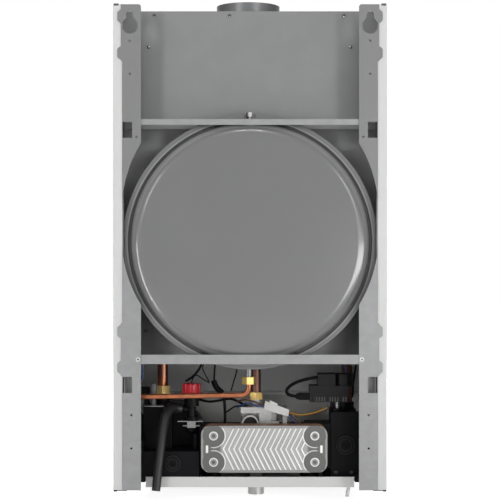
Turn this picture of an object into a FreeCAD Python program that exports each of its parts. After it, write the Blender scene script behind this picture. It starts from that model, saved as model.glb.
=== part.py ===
import FreeCAD, Part
import math
import os
import Sketcher
from FreeCAD import Placement, Rotation, Vector

os.makedirs("parts", exist_ok=True)
doc = FreeCAD.newDocument("WallBoiler")
sheet = doc.addObject("Spreadsheet::Sheet", "Sizes")
pieces = []


class Dim:
    """A length together with the sheet expression that drives it."""

    def __init__(self, value, text):
        self.value = float(value)
        self.text = text

    def __add__(self, other):
        other = dim(other)
        return Dim(self.value + other.value, "(%s + %s)" % (self.text, other.text))

    def __radd__(self, other):
        return dim(other) + self

    def __sub__(self, other):
        other = dim(other)
        return Dim(self.value - other.value, "(%s - %s)" % (self.text, other.text))

    def __rsub__(self, other):
        return dim(other) - self

    def __mul__(self, factor):
        return Dim(self.value * factor, "(%s * %r)" % (self.text, float(factor)))

    def __rmul__(self, factor):
        return self * factor

    def __truediv__(self, divisor):
        return Dim(self.value / divisor, "(%s / %r)" % (self.text, float(divisor)))

    def __neg__(self):
        return Dim(-self.value, "(-1 * %s)" % self.text)


def dim(value):
    if isinstance(value, Dim):
        return value
    return Dim(value, "(%r)" % float(value))


def size(name, value, note):
    """One row of the sheet: a named driving dimension in millimetres."""
    size.row += 1
    sheet.set("A%d" % size.row, name)
    sheet.set("B%d" % size.row, str(value))
    sheet.set("C%d" % size.row, note)
    sheet.setAlias("B%d" % size.row, name)
    return Dim(value, "Sizes." + name)


size.row = 0

# Casing and frame
casing_width = size("casing_width", 410, "outside width over the side panels")
casing_height = size("casing_height", 728, "height of the rails and side panels")
casing_depth = size("casing_depth", 285, "wall plane to the front face")
hook_drop = size("hook_drop", 32, "casing top down to the keyhole centres")
seat = size("seat", 0.3, "gap left between seated pieces")
turn_fit = size("turn_fit", 0.05, "radial gap of a turning or sliding fit")
panel_sheet = size("panel_sheet", 1.0, "painted panel thickness")
side_return = size("side_return", 13.4, "rear return of a side panel")
lip = size("lip", 12.0, "front lip of a side panel")
rail_sheet = size("rail_sheet", 1.5, "rail and crossbar sheet thickness")
rail_web = size("rail_web", 28, "rail face width")
rail_flange = size("rail_flange", 22, "rail flange depth")
tab_step = size("tab_step", 2.1, "extra face width in the tab zones")
lobe_reach = size("lobe_reach", 7.3, "lobe height over the rail edge")
keyhole_r = size("keyhole_r", 12.0, "keyhole entry radius")
keyhole_neck = size("keyhole_neck", 5.5, "half width of the keyhole neck")
keyhole_rise = size("keyhole_rise", 16.5, "entry centre up to the neck end centre")
keyhole_inset = size("keyhole_inset", 25, "casing side in to the keyhole centre")
bar_inset = size("bar_inset", 14.3, "gap from crossbar end to rail flange")

# Expansion vessel
rim_room = size("rim_room", 11.5, "vessel rim to casing side")
vessel_height = size("vessel_height", 372, "vessel centre above the rail bottom")
vessel_back = size("vessel_back", 4, "vessel crown behind the wall plane")
vessel_front = size("vessel_front", 68, "vessel front crown depth")
rim_back = size("rim_back", 25, "crimped rim rear face depth")
rim_band = size("rim_band", 9.5, "crimped rim face width")
rim_overhang = size("rim_overhang", 12.5, "rim radius minus shell radius")
shell_wall = size("shell_wall", 1.8, "vessel shell thickness")
lift_in = size("lift_in", 47, "rise of the rail cut-out over the vessel centre")
shoulder = (rim_back - vessel_back) * 0.9

# Sealed chamber
chamber_back = size("chamber_back", 52, "upper chamber back depth")
chamber_step = size("chamber_step", 20, "extra depth behind the vessel")
step_drop = size("step_drop", 8, "vessel shell top down to the chamber hem")
chamber_floor = size("chamber_floor", 205, "underside of the chamber")
chamber_gap = size("chamber_gap", 3.0, "side panel to chamber side")
cover_gap = size("cover_gap", 31, "chamber front to casing front")
collar_r = size("collar_r", 50, "flue collar outer radius")
collar_rise = size("collar_rise", 21.7, "collar height over the chamber top")
flue_r = size("flue_r", 30, "inner flue spigot outer radius")
flue_depth = size("flue_depth", 140, "flue axis depth")
flue_across = size("flue_across", 2.9, "flue axis across")

# Combustion stack
burn_back = size("burn_back", 95, "combustion box back depth")
burn_room = size("burn_room", 78, "casing side to combustion box side")
burner_top = size("burner_top", 270, "underside of the combustion box")
fan_drop = size("fan_drop", 128, "chamber top down to the fan axis")
fan_r = size("fan_r", 60, "fan scroll outer radius")
fan_shift = size("fan_shift", 35, "fan axis beside the flue axis")
wheel_r = size("wheel_r", 48, "fan wheel radius")

# Water and gas side
plate_length = size("plate_length", 192, "plate exchanger length")
plate_height = size("plate_height", 71, "plate exchanger height")
plate_centre = size("plate_centre", -21.6, "plate exchanger centre across")
plate_middle = size("plate_middle", 57.2, "plate exchanger centre height")
plate_back = size("plate_back", 34, "plate exchanger cover depth")
pack_depth = size("pack_depth", 30, "plate pack thickness")
port_across = size("port_across", 154, "port spacing along the plates")
port_up = size("port_up", 40, "port spacing across the plates")
ridge_pitch = size("ridge_pitch", 7.9, "chevron pitch")
ridge_rise = size("ridge_rise", 2.0, "chevron height")
pipe_r = size("pipe_r", 8.2, "heating pipe radius")
pipe_depth = size("pipe_depth", 120, "heating and gas pipe depth")
pipe_wall = size("pipe_wall", 1.0, "copper pipe wall")
return_inset = size("return_inset", 67, "casing side to the return pipe")
flow_inset = size("flow_inset", 52, "casing side to the flow pipe")
group_inset = size("group_inset", 39, "casing side to the water groups")
stub_depth = size("stub_depth", 100, "water connection depth")
stub_r = size("stub_r", 13.2, "heating connection radius")
tap_r = size("tap_r", 10.5, "tap water connection radius")
stub_end = size("stub_end", 9.5, "water connections below the rails")
gas_across = size("gas_across", -9.5, "gas line across")
gas_stub_r = size("gas_stub_r", 12.8, "gas connection radius")
gas_stub_depth = size("gas_stub_depth", 138, "gas connection depth")
gas_end = size("gas_end", 27.4, "gas connection below the rails")
tube_r = size("tube_r", 4.0, "vessel tube radius")
tube_drop = size("tube_drop", 38.5, "vessel rim down to its tube run")
valve_across = size("valve_across", 90.8, "safety valve axis across")
valve_depth = size("valve_depth", 80, "safety valve axis depth")
knob_r = size("knob_r", 14.5, "safety valve knob radius")
hose_r = size("hose_r", 7.6, "drain hose radius")
clear_r = size("clear_r", 2.9, "clear hose radius")
spindle_r = size("spindle_r", 3, "diverter spindle radius")

# Control panel
fascia_height = size("fascia_height", 118.5, "control fascia height")
fascia_wall = size("fascia_wall", 3, "control fascia thickness")
fascia_depth = size("fascia_depth", 22, "control fascia return depth")
box_depth = size("box_depth", 85, "control box back to casing front")
box_half = size("box_half", 160, "control box half width")
pivot_r = size("pivot_r", 4, "panel pivot radius")
dial_r = size("dial_r", 19, "control knob radius")
dial_across = size("dial_across", 95, "control knob spacing from the middle")
dial_height = size("dial_height", 62, "control knob height")
dial_rise = size("dial_rise", 14, "control knob height over the fascia")
button_r = size("button_r", 6, "reset button radius")

# Positions that follow from the sizes above
half = casing_width / 2
hook = casing_height - hook_drop
rail_out = half - side_return - seat
rail_in = rail_out - rail_web
keyhole_x = half - keyhole_inset
bar_half = rail_out - rail_sheet - bar_inset
vessel_r = half - rim_room
shell_r = vessel_r - rim_overhang
cut_r = vessel_r - rail_sheet
cut_low = vessel_height + 7
cut_high = vessel_height + lift_in
step_height = vessel_height + shell_r - step_drop
tube_height = vessel_height - vessel_r - tube_drop
chamber_top = casing_height - 3
chamber_half = half - panel_sheet * 2 - chamber_gap
chamber_low = chamber_back + chamber_step
chamber_front = casing_depth - cover_gap
burn_front = casing_depth - 40
burn_half = half - burn_room
fan_x = flue_across - fan_shift
fan_z = chamber_top - fan_drop
hood_z = chamber_top - 227
plate_front = plate_back + 2 + pack_depth
return_x = half - return_inset
flow_x = flow_inset - half
group_x = half - group_inset
box_back = casing_depth - box_depth
box_top = dial_height + 7
fascia_back = casing_depth - fascia_depth
pivot_depth = box_back + 6


def bind(item, prop, value):
    item.setExpression(prop, dim(value).text)


def settle(item, label, x=0, y=0, z=0):
    """Name a finished piece and set it in the shared frame, whose origin is at the keyholes."""
    item.Label = label
    bind(item, "Placement.Base.x", x)
    bind(item, "Placement.Base.y", y)
    bind(item, "Placement.Base.z", dim(z) - hook)
    pieces.append(item)
    return item


def box(x0, x1, d0, d1, z0, z1):
    """Block given by its sides; depths count forward from the wall plane."""
    item = doc.addObject("Part::Box", "block")
    bind(item, "Length", dim(x1) - x0)
    bind(item, "Width", dim(d1) - d0)
    bind(item, "Height", dim(z1) - z0)
    bind(item, "Placement.Base.x", x0)
    bind(item, "Placement.Base.y", -dim(d1))
    bind(item, "Placement.Base.z", z0)
    return item


def side_box(side, x0, x1, d0, d1, z0, z1):
    if side > 0:
        return box(x0, x1, d0, d1, z0, z1)
    return box(-dim(x1), -dim(x0), d0, d1, z0, z1)


def rod(kind, x, d, z, length, radius):
    """Round bar from a start point: kind z goes up, y goes forward, x goes across."""
    item = doc.addObject("Part::Cylinder", "rod")
    turns = {"z": Rotation(), "y": Rotation(Vector(1, 0, 0), 90), "x": Rotation(Vector(0, 1, 0), 90)}
    item.Placement = Placement(Vector(), turns[kind])
    bind(item, "Radius", radius)
    bind(item, "Height", length)
    bind(item, "Placement.Base.x", x)
    bind(item, "Placement.Base.y", -dim(d))
    bind(item, "Placement.Base.z", z)
    return item


def hexagon(x, d, z, length, across, turn):
    """Upright hexagonal prism given by its size across flats."""
    item = doc.addObject("Part::Prism", "hexagon")
    item.Polygon = 6
    item.Placement = Placement(Vector(), Rotation(Vector(0, 0, 1), turn))
    bind(item, "Circumradius", dim(across) / math.sqrt(3))
    bind(item, "Height", length)
    bind(item, "Placement.Base.x", x)
    bind(item, "Placement.Base.y", -dim(d))
    bind(item, "Placement.Base.z", z)
    return item


def fuse(items):
    if len(items) == 1:
        return items[0]
    item = doc.addObject("Part::MultiFuse", "joined")
    item.Shapes = items
    item.Refine = True
    return item


def cut(base, tools):
    item = doc.addObject("Part::Cut", "cut")
    item.Base = base
    item.Tool = fuse(tools)
    item.Refine = True
    return item


def group(items):
    item = doc.addObject("Part::Compound", "set")
    item.Links = items
    return item


def new_body(name):
    return doc.addObject("PartDesign::Body", name)


def sketch(body, plane, offset=0):
    item = body.newObject("Sketcher::SketchObject", body.Name + "_sketch")
    origin = [f for f in body.Origin.OriginFeatures if f.Role == plane + "_Plane"][0]
    item.AttachmentSupport = [(origin, "")]
    item.MapMode = "FlatFace"
    bind(item, "AttachmentOffset.Base.z", offset)
    return item


def drive(item, constraints):
    """Add constraints to a sketch and bind those that carry a size."""
    first = item.ConstraintCount
    item.addConstraint([c for c, _ in constraints])
    for index, (_, value) in enumerate(constraints):
        if value is not None and not (value.value == 0 and "Sizes" not in value.text):
            item.setExpression("Constraints[%d]" % (first + index), value.text)


def locate(geo, pos, x, z):
    """Constraints that hold one sketch point at a driven position."""
    rows = []
    for kind, axis, value in (("DistanceX", -2, x), ("DistanceY", -1, z)):
        if value.value == 0 and "Sizes" not in value.text:
            rows.append((Sketcher.Constraint("PointOnObject", geo, pos, axis), None))
        else:
            rows.append((Sketcher.Constraint(kind, -1, 1, geo, pos, value.value), value))
    return rows


def corner_arc(before, here, after, radius):
    """Tangent points, centre and turning sense of a rounded corner."""
    back = (before - here).normalize()
    ahead = (after - here).normalize()
    half_angle = back.getAngle(ahead) / 2
    reach = radius / math.tan(half_angle)
    centre = here + (back + ahead).normalize() * (radius / math.sin(half_angle))
    left = (here - before).cross(after - here).z > 0
    return here + back * reach, here + ahead * reach, centre, left


def outline(item, corners):
    """Closed outline; each corner is (across, up) or (across, up, radius)."""
    spots = [(dim(c[0]), dim(c[1])) for c in corners]
    radii = [dim(c[2]) if len(c) > 2 else None for c in corners]
    flat = [Vector(x.value, z.value, 0) for x, z in spots]
    count = len(corners)
    turns = []
    for i in range(count):
        if radii[i] is None:
            turns.append((flat[i], flat[i], None, True))
        else:
            turns.append(corner_arc(flat[i - 1], flat[i], flat[(i + 1) % count], radii[i].value))
    lines = []
    for i in range(count):
        lines.append(item.addGeometry(Part.LineSegment(turns[i][1], turns[(i + 1) % count][0]), False))
    rows = []
    for i in range(count):
        start, end, centre, left = turns[i]
        if radii[i] is None:
            rows.append((Sketcher.Constraint("Coincident", lines[i - 1], 2, lines[i], 1), None))
            rows += locate(lines[i], 1, *spots[i])
            continue
        circle = Part.Circle(centre, Vector(0, 0, 1), radii[i].value)
        a0 = math.atan2((start - centre).y, (start - centre).x)
        a1 = math.atan2((end - centre).y, (end - centre).x)
        if not left:
            a0, a1 = a1, a0
        arc = item.addGeometry(Part.ArcOfCircle(circle, a0, a1), False)
        point = item.addGeometry(Part.Point(flat[i]), True)
        enter, leave = (1, 2) if left else (2, 1)
        rows.append((Sketcher.Constraint("Tangent", lines[i - 1], 2, arc, enter), None))
        rows.append((Sketcher.Constraint("Tangent", arc, leave, lines[i], 1), None))
        rows.append((Sketcher.Constraint("Radius", arc, radii[i].value), radii[i]))
        rows.append((Sketcher.Constraint("PointOnObject", point, 1, lines[i - 1]), None))
        rows.append((Sketcher.Constraint("PointOnObject", point, 1, lines[i]), None))
        rows += locate(point, 1, *spots[i])
    drive(item, rows)
    return item


def circles(item, rows):
    """Circles given as (across, up, radius)."""
    for x, z, radius in rows:
        x, z, radius = dim(x), dim(z), dim(radius)
        ring = Part.Circle(Vector(x.value, z.value, 0), Vector(0, 0, 1), radius.value)
        geo = item.addGeometry(ring, False)
        sizes = [(Sketcher.Constraint("Radius", geo, radius.value), radius)]
        drive(item, sizes + locate(geo, 3, x, z))
    return item


def rectangle(item, x0, x1, z0, z1):
    return outline(item, [(x0, z0), (x1, z0), (x1, z1), (x0, z1)])


def upright_slot(item, x, low, high, radius):
    """Obround standing upright between two arc centres."""
    x, low, high, radius = dim(x), dim(low), dim(high), dim(radius)
    up = Part.Circle(Vector(x.value, high.value, 0), Vector(0, 0, 1), radius.value)
    down = Part.Circle(Vector(x.value, low.value, 0), Vector(0, 0, 1), radius.value)
    top = item.addGeometry(Part.ArcOfCircle(up, 0, math.pi), False)
    foot = item.addGeometry(Part.ArcOfCircle(down, math.pi, 2 * math.pi), False)
    x0, x1 = x.value - radius.value, x.value + radius.value
    fall = item.addGeometry(Part.LineSegment(Vector(x0, high.value, 0), Vector(x0, low.value, 0)), False)
    rise = item.addGeometry(Part.LineSegment(Vector(x1, low.value, 0), Vector(x1, high.value, 0)), False)
    rows = [(Sketcher.Constraint("Tangent", top, 2, fall, 1), None)]
    rows.append((Sketcher.Constraint("Tangent", fall, 2, foot, 1), None))
    rows.append((Sketcher.Constraint("Tangent", foot, 2, rise, 1), None))
    rows.append((Sketcher.Constraint("Tangent", rise, 2, top, 1), None))
    rows.append((Sketcher.Constraint("Equal", top, foot), None))
    rows.append((Sketcher.Constraint("Radius", top, radius.value), radius))
    rows += locate(top, 3, x, high) + locate(foot, 3, x, low)
    drive(item, rows)
    return item


def pad(body, profile, length, backward=False, both=False):
    item = body.newObject("PartDesign::Pad", body.Name + "_pad")
    item.Profile = profile
    bind(item, "Length", length)
    item.Reversed = backward
    if both:
        item.SideType = "Symmetric"
    return item


def pocket(body, profile, length, backward=True):
    """Cut along the sketch normal, or against it when backward is off."""
    item = body.newObject("PartDesign::Pocket", body.Name + "_pocket")
    item.Profile = profile
    bind(item, "Length", length)
    item.Reversed = backward
    return item


def revolve(body, profile):
    item = body.newObject("PartDesign::Revolution", body.Name + "_turned")
    item.Profile = profile
    item.ReferenceAxis = (profile, ["V_Axis"])
    item.Angle = 360
    return item


def polar(body, feature, profile, count):
    item = body.newObject("PartDesign::PolarPattern", body.Name + "_ring")
    item.Originals = [feature]
    item.Axis = (profile, ["N_Axis"])
    item.Angle = 360
    item.Occurrences = count
    body.Tip = item
    return item


def row(body, feature, profile, axis, length, count, backward=False):
    item = body.newObject("PartDesign::LinearPattern", body.Name + "_row")
    item.Originals = [feature]
    item.Direction = (profile, [axis])
    item.Reversed = backward
    bind(item, "Length", length)
    item.Occurrences = count
    body.Tip = item
    return item


def turned(name, profile, plane="XZ"):
    """Body of revolution about its own upright axis, or about depth for plane XY."""
    body = new_body(name)
    revolve(body, outline(sketch(body, plane), profile))
    return body


def path_wire(points, radii):
    """Straight runs joined by tangent arcs."""
    edges = []
    last = points[0]
    for i in range(1, len(points) - 1):
        back = (points[i - 1] - points[i]).normalize()
        ahead = (points[i + 1] - points[i]).normalize()
        half_angle = back.getAngle(ahead) / 2
        reach = radii[i - 1] / math.tan(half_angle)
        bisector = (back + ahead).normalize()
        centre = points[i] + bisector * (radii[i - 1] / math.sin(half_angle))
        enter = points[i] + back * reach
        leave = points[i] + ahead * reach
        middle = centre - bisector * radii[i - 1]
        edges.append(Part.LineSegment(last, enter).toShape())
        edges.append(Part.Arc(enter, middle, leave).toShape())
        last = leave
    edges.append(Part.LineSegment(last, points[-1]).toShape())
    return Part.Wire(edges)


def swept(name, points, radii, outer, inner):
    """Round tube along a path; points are (across, depth, height)."""
    spots = [Vector(dim(x).value, -dim(d).value, dim(z).value) for x, d, z in points]
    path = path_wire(spots, radii)
    start = (spots[1] - spots[0]).normalize()
    shapes = []
    for radius in (outer, inner):
        if radius > 0:
            ring = Part.Wire([Part.Circle(spots[0], start, radius).toShape()])
            shapes.append(path.makePipeShell([ring], True, True))
    shape = shapes[0] if len(shapes) == 1 else shapes[0].cut(shapes[1])
    wanted = math.pi * (outer ** 2 - inner ** 2) * path.Length
    bends = ", ".join("%.1f" % r for r in radii)
    print("%s: length %.1f, bends %s, volume ratio %.4f" % (name, path.Length, bends, shape.Volume / wanted))
    item = doc.addObject("Part::Feature", name)
    item.Shape = shape
    return item


def easy_bends(points):
    """Bend radii that leave a short straight in every run."""
    spots = [Vector(dim(x).value, -dim(d).value, dim(z).value) for x, d, z in points]
    radii = []
    for i in range(1, len(spots) - 1):
        back = spots[i - 1] - spots[i]
        ahead = spots[i + 1] - spots[i]
        turn = math.pi - back.getAngle(ahead)
        radii.append(0.45 * min(back.Length, ahead.Length) / math.tan(turn / 2))
    return radii


# Frame

def rail(label, side):
    """Upright: slotted face sheet, flange between the tab zones and feet to the chamber."""
    body = new_body(label)
    high = casing_height
    face = [(side * rail_in, 0), (side * rail_out, 0)]
    face += [(side * rail_out, 171.5), (side * (rail_out + tab_step), 171.5)]
    face += [(side * (rail_out + tab_step), 250.5), (side * rail_out, 250.5)]
    face += [(side * rail_out, high - 85), (side * (rail_out + tab_step), high - 85)]
    face += [(side * (rail_out + tab_step), high), (side * rail_in, high, 4)]
    pad(body, outline(sketch(body, "XZ"), face), rail_sheet)
    lobes = sketch(body, "XZ")
    for middle in (high - 18, high - 73, dim(238), dim(184)):
        root, tip = side * (rail_out - 1), side * (rail_out + lobe_reach)
        wave = [(root, middle - 10.5), (side * (rail_out + tab_step), middle - 10.5, 2)]
        wave += [(tip, middle - 6.5, 4), (tip, middle + 6.5, 4)]
        wave += [(side * (rail_out + tab_step), middle + 10.5, 2), (root, middle + 10.5)]
        outline(lobes, wave)
    pad(body, lobes, rail_sheet)
    web = sorted([side * (rail_out - rail_sheet), side * rail_out], key=lambda d: d.value)
    flange = sketch(body, "XZ")
    rectangle(flange, web[0], web[1], 0, 171.5)
    rectangle(flange, web[0], web[1], 250.5, high - 85)
    pad(body, flange, rail_flange)
    toe = sorted([side * (rail_out - 21), side * rail_out], key=lambda d: d.value)
    for low, tall, reach in ((high - 128, 36, chamber_back), (dim(254), 20, chamber_low)):
        pad(body, rectangle(sketch(body, "XZ"), web[0], web[1], low, low + tall), reach)
        foot = rectangle(sketch(body, "XZ", reach - rail_sheet), toe[0], toe[1], low, low + tall)
        pad(body, foot, rail_sheet)
    pocket(body, upright_slot(sketch(body, "XZ"), 0, cut_low, cut_high, cut_r), rail_sheet)
    hole = sketch(body, "XZ")
    circles(hole, [(side * keyhole_x, hook, keyhole_r)])
    pocket(body, hole, rail_sheet)
    pocket(body, upright_slot(sketch(body, "XZ"), side * keyhole_x, hook, hook + keyhole_rise, keyhole_neck),
           rail_sheet)
    small = [(side * keyhole_x, high - 54.5, 1.6), (side * keyhole_x, high - 104, 1.6)]
    small += [(side * (rail_in + 14.4), 112.7, 1.6), (side * (rail_in + 14.4), 62.8, 1.6)]
    small += [(side * (rail_in + 6.7), 529.5, 1.6), (side * (rail_in + 4.4), vessel_height - shell_r + 5, 3.4)]
    pocket(body, circles(sketch(body, "XZ"), small), rail_sheet)
    for low in (high - 200, dim(146)):
        edge = sorted([side * (rail_out - 14.8), side * (rail_out - 0.6)], key=lambda d: d.value)
        pocket(body, rectangle(sketch(body, "XZ"), edge[0], edge[1], low, low + 24), 10)
    return settle(body, label)


def crossbar(label, low, tall, leg_up, notch):
    """Angle bar behind the rail faces; its leg reaches forward to the vessel rim."""
    body = new_body(label)
    back, inner, reach = rail_sheet, rail_sheet * 2, rail_flange + 2
    high = low + tall
    if leg_up:
        angle = [(-back, low), (-back, high), (-reach, high), (-reach, high - rail_sheet)]
        angle += [(-inner, high - rail_sheet), (-inner, low)]
    else:
        angle = [(-back, low), (-back, high), (-inner, high), (-inner, low + rail_sheet)]
        angle += [(-reach, low + rail_sheet), (-reach, low)]
    pad(body, outline(sketch(body, "YZ"), angle), bar_half * 2, both=True)
    if notch:
        gap = rectangle(sketch(body, "XY", high + 1), -7, 7, -reach - 1, -reach + 14)
        pocket(body, gap, rail_sheet * 3, backward=False)
    ends = [(rail_in + 4.4, low + tall / 2, 2.1), (-rail_in - 4.4, low + tall / 2, 2.1)]
    pocket(body, circles(sketch(body, "XZ"), ends), inner + 1)
    return settle(body, label)


def side_panel(label, side):
    """Painted side: rear return, front lip, top and bottom returns, panel pivot ear."""
    body = new_body(label)
    out, inn = half, half - panel_sheet
    back = rail_sheet + seat
    front = fascia_back - 1
    section = [(side * (half - side_return), -back), (side * out, -back, 1.5), (side * out, -front, 1.5)]
    section += [(side * (out - lip), -front), (side * (out - lip), panel_sheet - front)]
    section += [(side * inn, panel_sheet - front), (side * inn, -back - panel_sheet)]
    section += [(side * (half - side_return), -back - panel_sheet)]
    pad(body, outline(sketch(body, "XY"), section), casing_height)
    inner = sorted([side * (out - 18), side * (out - 0.5)], key=lambda d: d.value)
    for low in (dim(0), casing_height - panel_sheet):
        flap = rectangle(sketch(body, "XY", low), inner[0], inner[1], 0.5 - front, -rail_flange - 4)
        pad(body, flap, panel_sheet)
    near, far = box_half + 10, out - 10
    shelf = sorted([side * near, side * far], key=lambda d: d.value)
    pad(body, rectangle(sketch(body, "XY"), shelf[0], shelf[1], -pivot_depth - 10, -pivot_depth + 10),
        panel_sheet)
    ear_x = near if side > 0 else -near - 2
    ear = sketch(body, "YZ", ear_x)
    outline(ear, [(-pivot_depth - 10, 0), (-pivot_depth + 10, 0), (-pivot_depth + 10, 20, 6),
                  (-pivot_depth - 10, 20, 6)])
    circles(ear, [(-pivot_depth, 8, pivot_r + turn_fit)])
    pad(body, ear, 2)
    return settle(body, label)


def bottom_bar():
    """White bar under the water groups with an upturned rear edge and holes for the connections."""
    body = new_body("bottom_bar")
    width = rail_in - 4.3
    base = [(-width, -40), (-width, -62), (-width + 12, -62), (-width + 12, -180)]
    base += [(width - 12, -180), (width - 12, -62), (width, -62), (width, -40)]
    pad(body, outline(sketch(body, "XY"), base), rail_sheet)
    edge = rectangle(sketch(body, "XZ", 40), -width, width, -1.8, 14)
    pad(body, edge, rail_sheet)
    holes = [(group_x - 36, -stub_depth, stub_r + 0.6), (36 - group_x, -stub_depth, stub_r + 0.6)]
    holes += [(60, -stub_depth, tap_r + 0.6), (-92, -stub_depth, tap_r + 0.6)]
    holes += [(gas_across, -gas_stub_depth, gas_stub_r + 0.6)]
    pocket(body, circles(sketch(body, "XY"), holes), 4)
    return settle(body, "bottom_bar")


def rivet(x, z):
    head = rod("y", x, 0.2, z, rail_sheet - 0.2, 3.3)
    shank = rod("y", x, 0.2, z, rail_sheet * 2, 2.0)
    tail = rod("y", x, rail_sheet * 2, z, 1.2, 3.2)
    return fuse([head, shank, tail])


def screw(x, d, z, radius=3.0):
    """Socket screw standing on a face that looks to the rear."""
    head = rod("y", x, dim(d) - 1.8, z, 1.8, radius)
    socket = rod("y", x, dim(d) - 2, z, 1.4, radius * 0.6)
    return cut(head, [socket])


def frame_screws():
    low = vessel_height - shell_r + 5
    items = [rivet(rail_in + 4.4, low), rivet(-rail_in - 4.4, low)]
    top = chamber_top
    for x, z in ((146.7, top - 6), (31.3, top - 6), (-143.8, top - 6), (155.5, top - 54), (-154, top - 54)):
        items.append(screw(x, chamber_back, z, 2.4))
    for x in (group_x - 10, group_x - 34):
        items.append(screw(-x, 62, 17.5))
    return settle(group(items), "frame_screws")


def front_cover():
    """Painted front pan; it hangs on the sides and lifts away to the front."""
    body = new_body("front_cover")
    low, high = fascia_height + 1.5, casing_height
    wall = panel_sheet + 0.2
    plan = [(-half, low, 3), (half, low, 3), (half, high, 3), (-half, high, 3)]
    depth = fascia_depth + 1 - seat
    slab = pad(body, outline(sketch(body, "XZ", casing_depth), plan), depth, backward=True)
    doc.recompute()
    front = [i for i, f in enumerate(body.Shape.Faces) if abs(f.CenterOfMass.y + casing_depth.value) < 1e-3]
    soft = body.newObject("PartDesign::Fillet", "front_cover_soft")
    soft.Base = (slab, ["Face%d" % (front[0] + 1)])
    soft.Radius = 2
    inner = [(-half + wall, low + wall, 1.8), (half - wall, low + wall, 1.8)]
    inner += [(half - wall, high - wall, 1.8), (-half + wall, high - wall, 1.8)]
    hollow = outline(sketch(body, "XZ", casing_depth - depth), inner)
    pocket(body, hollow, depth - wall)
    return settle(body, "front_cover")


# Sealed chamber

def chamber_back_sheet():
    """Stepped back sheet: a folded lip shows over the vessel."""
    body = new_body("chamber_back")
    up, low, t = chamber_back, chamber_low, panel_sheet
    step = step_height + 11
    fold = [(-up, chamber_top), (-up, step), (-low, step), (-low, chamber_floor + t), (-low - t, chamber_floor + t)]
    fold += [(-low - t, step + t), (-up - t, step + t), (-up - t, chamber_top)]
    pad(body, outline(sketch(body, "YZ"), fold), chamber_half * 2, both=True)
    hem = [(3 - up, step_height), (3 - up, step_height + 7), (-up, step_height + 9), (-up, step + t)]
    hem += [(-up - t, step + t), (-up - t, step_height)]
    pad(body, outline(sketch(body, "YZ"), hem), chamber_half * 2, both=True)
    room = circles(sketch(body, "XZ", up - 4), [(0, vessel_height, shell_r + 1)])
    pocket(body, room, 5)
    dots = circles(sketch(body, "XZ", low), [(161, 234.7, 2), (-160, 234.7, 2)])
    pocket(body, dots, 3)
    return settle(body, "chamber_back")


def chamber_side(side):
    body = new_body("chamber_side")
    up, low, t = chamber_back, chamber_low, panel_sheet
    step = step_height + 11
    shape = [(-up, chamber_top), (-up, step), (-low, step), (-low, chamber_floor + t)]
    shape += [(-chamber_front, chamber_floor + t), (-chamber_front, chamber_top)]
    start = chamber_half if side > 0 else -chamber_half - t
    pad(body, outline(sketch(body, "YZ", start), shape), t)
    return body


def chamber_panels():
    settle(group([chamber_side(1), chamber_side(-1)]), "chamber_sides")
    wide = chamber_half + panel_sheet
    top = new_body("chamber_top")
    plan = sketch(top, "XY", chamber_top)
    rectangle(plan, -wide, wide, -chamber_front, -chamber_back)
    circles(plan, [(flue_across, -flue_depth, collar_r - 5)])
    pad(top, plan, panel_sheet)
    settle(top, "chamber_top")
    floor = new_body("chamber_bottom")
    plan = sketch(floor, "XY", chamber_floor)
    rectangle(plan, -wide, wide, -chamber_front, -chamber_low)
    circles(plan, [(return_x, -pipe_depth, pipe_r + 0.6), (flow_x, -pipe_depth, pipe_r + 0.6)])
    circles(plan, [(gas_across, -pipe_depth, pipe_r + 0.2)])
    pad(floor, plan, panel_sheet)
    settle(floor, "chamber_bottom")
    cover = new_body("chamber_cover")
    plan = [(-wide, chamber_floor, 4), (wide, chamber_floor, 4)]
    plan += [(wide, chamber_top + panel_sheet, 4), (-wide, chamber_top + panel_sheet, 4)]
    pad(cover, outline(sketch(cover, "XZ", chamber_front), plan), panel_sheet)
    field = [(-wide + 25, chamber_floor + 25, 12), (wide - 25, chamber_floor + 25, 12)]
    field += [(wide - 25, chamber_top - 25, 12), (-wide + 25, chamber_top - 25, 12)]
    raised = pad(cover, outline(sketch(cover, "XZ", chamber_front), field), panel_sheet + 3)
    raised.TaperAngle = -20
    settle(cover, "chamber_cover")


def flue_collar():
    """Outer flue collar standing on a flat foot."""
    z0 = panel_sheet
    rim = collar_rise
    inner = collar_r - 1.2
    profile = [(inner, z0), (collar_r + 11, z0), (collar_r + 11, z0 + 1.2), (collar_r, z0 + 1.2)]
    profile += [(collar_r, rim), (inner, rim)]
    body = turned("flue_collar", profile)
    return settle(body, "flue_collar", flue_across, -flue_depth, chamber_top)


# Fan and combustion stack

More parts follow.
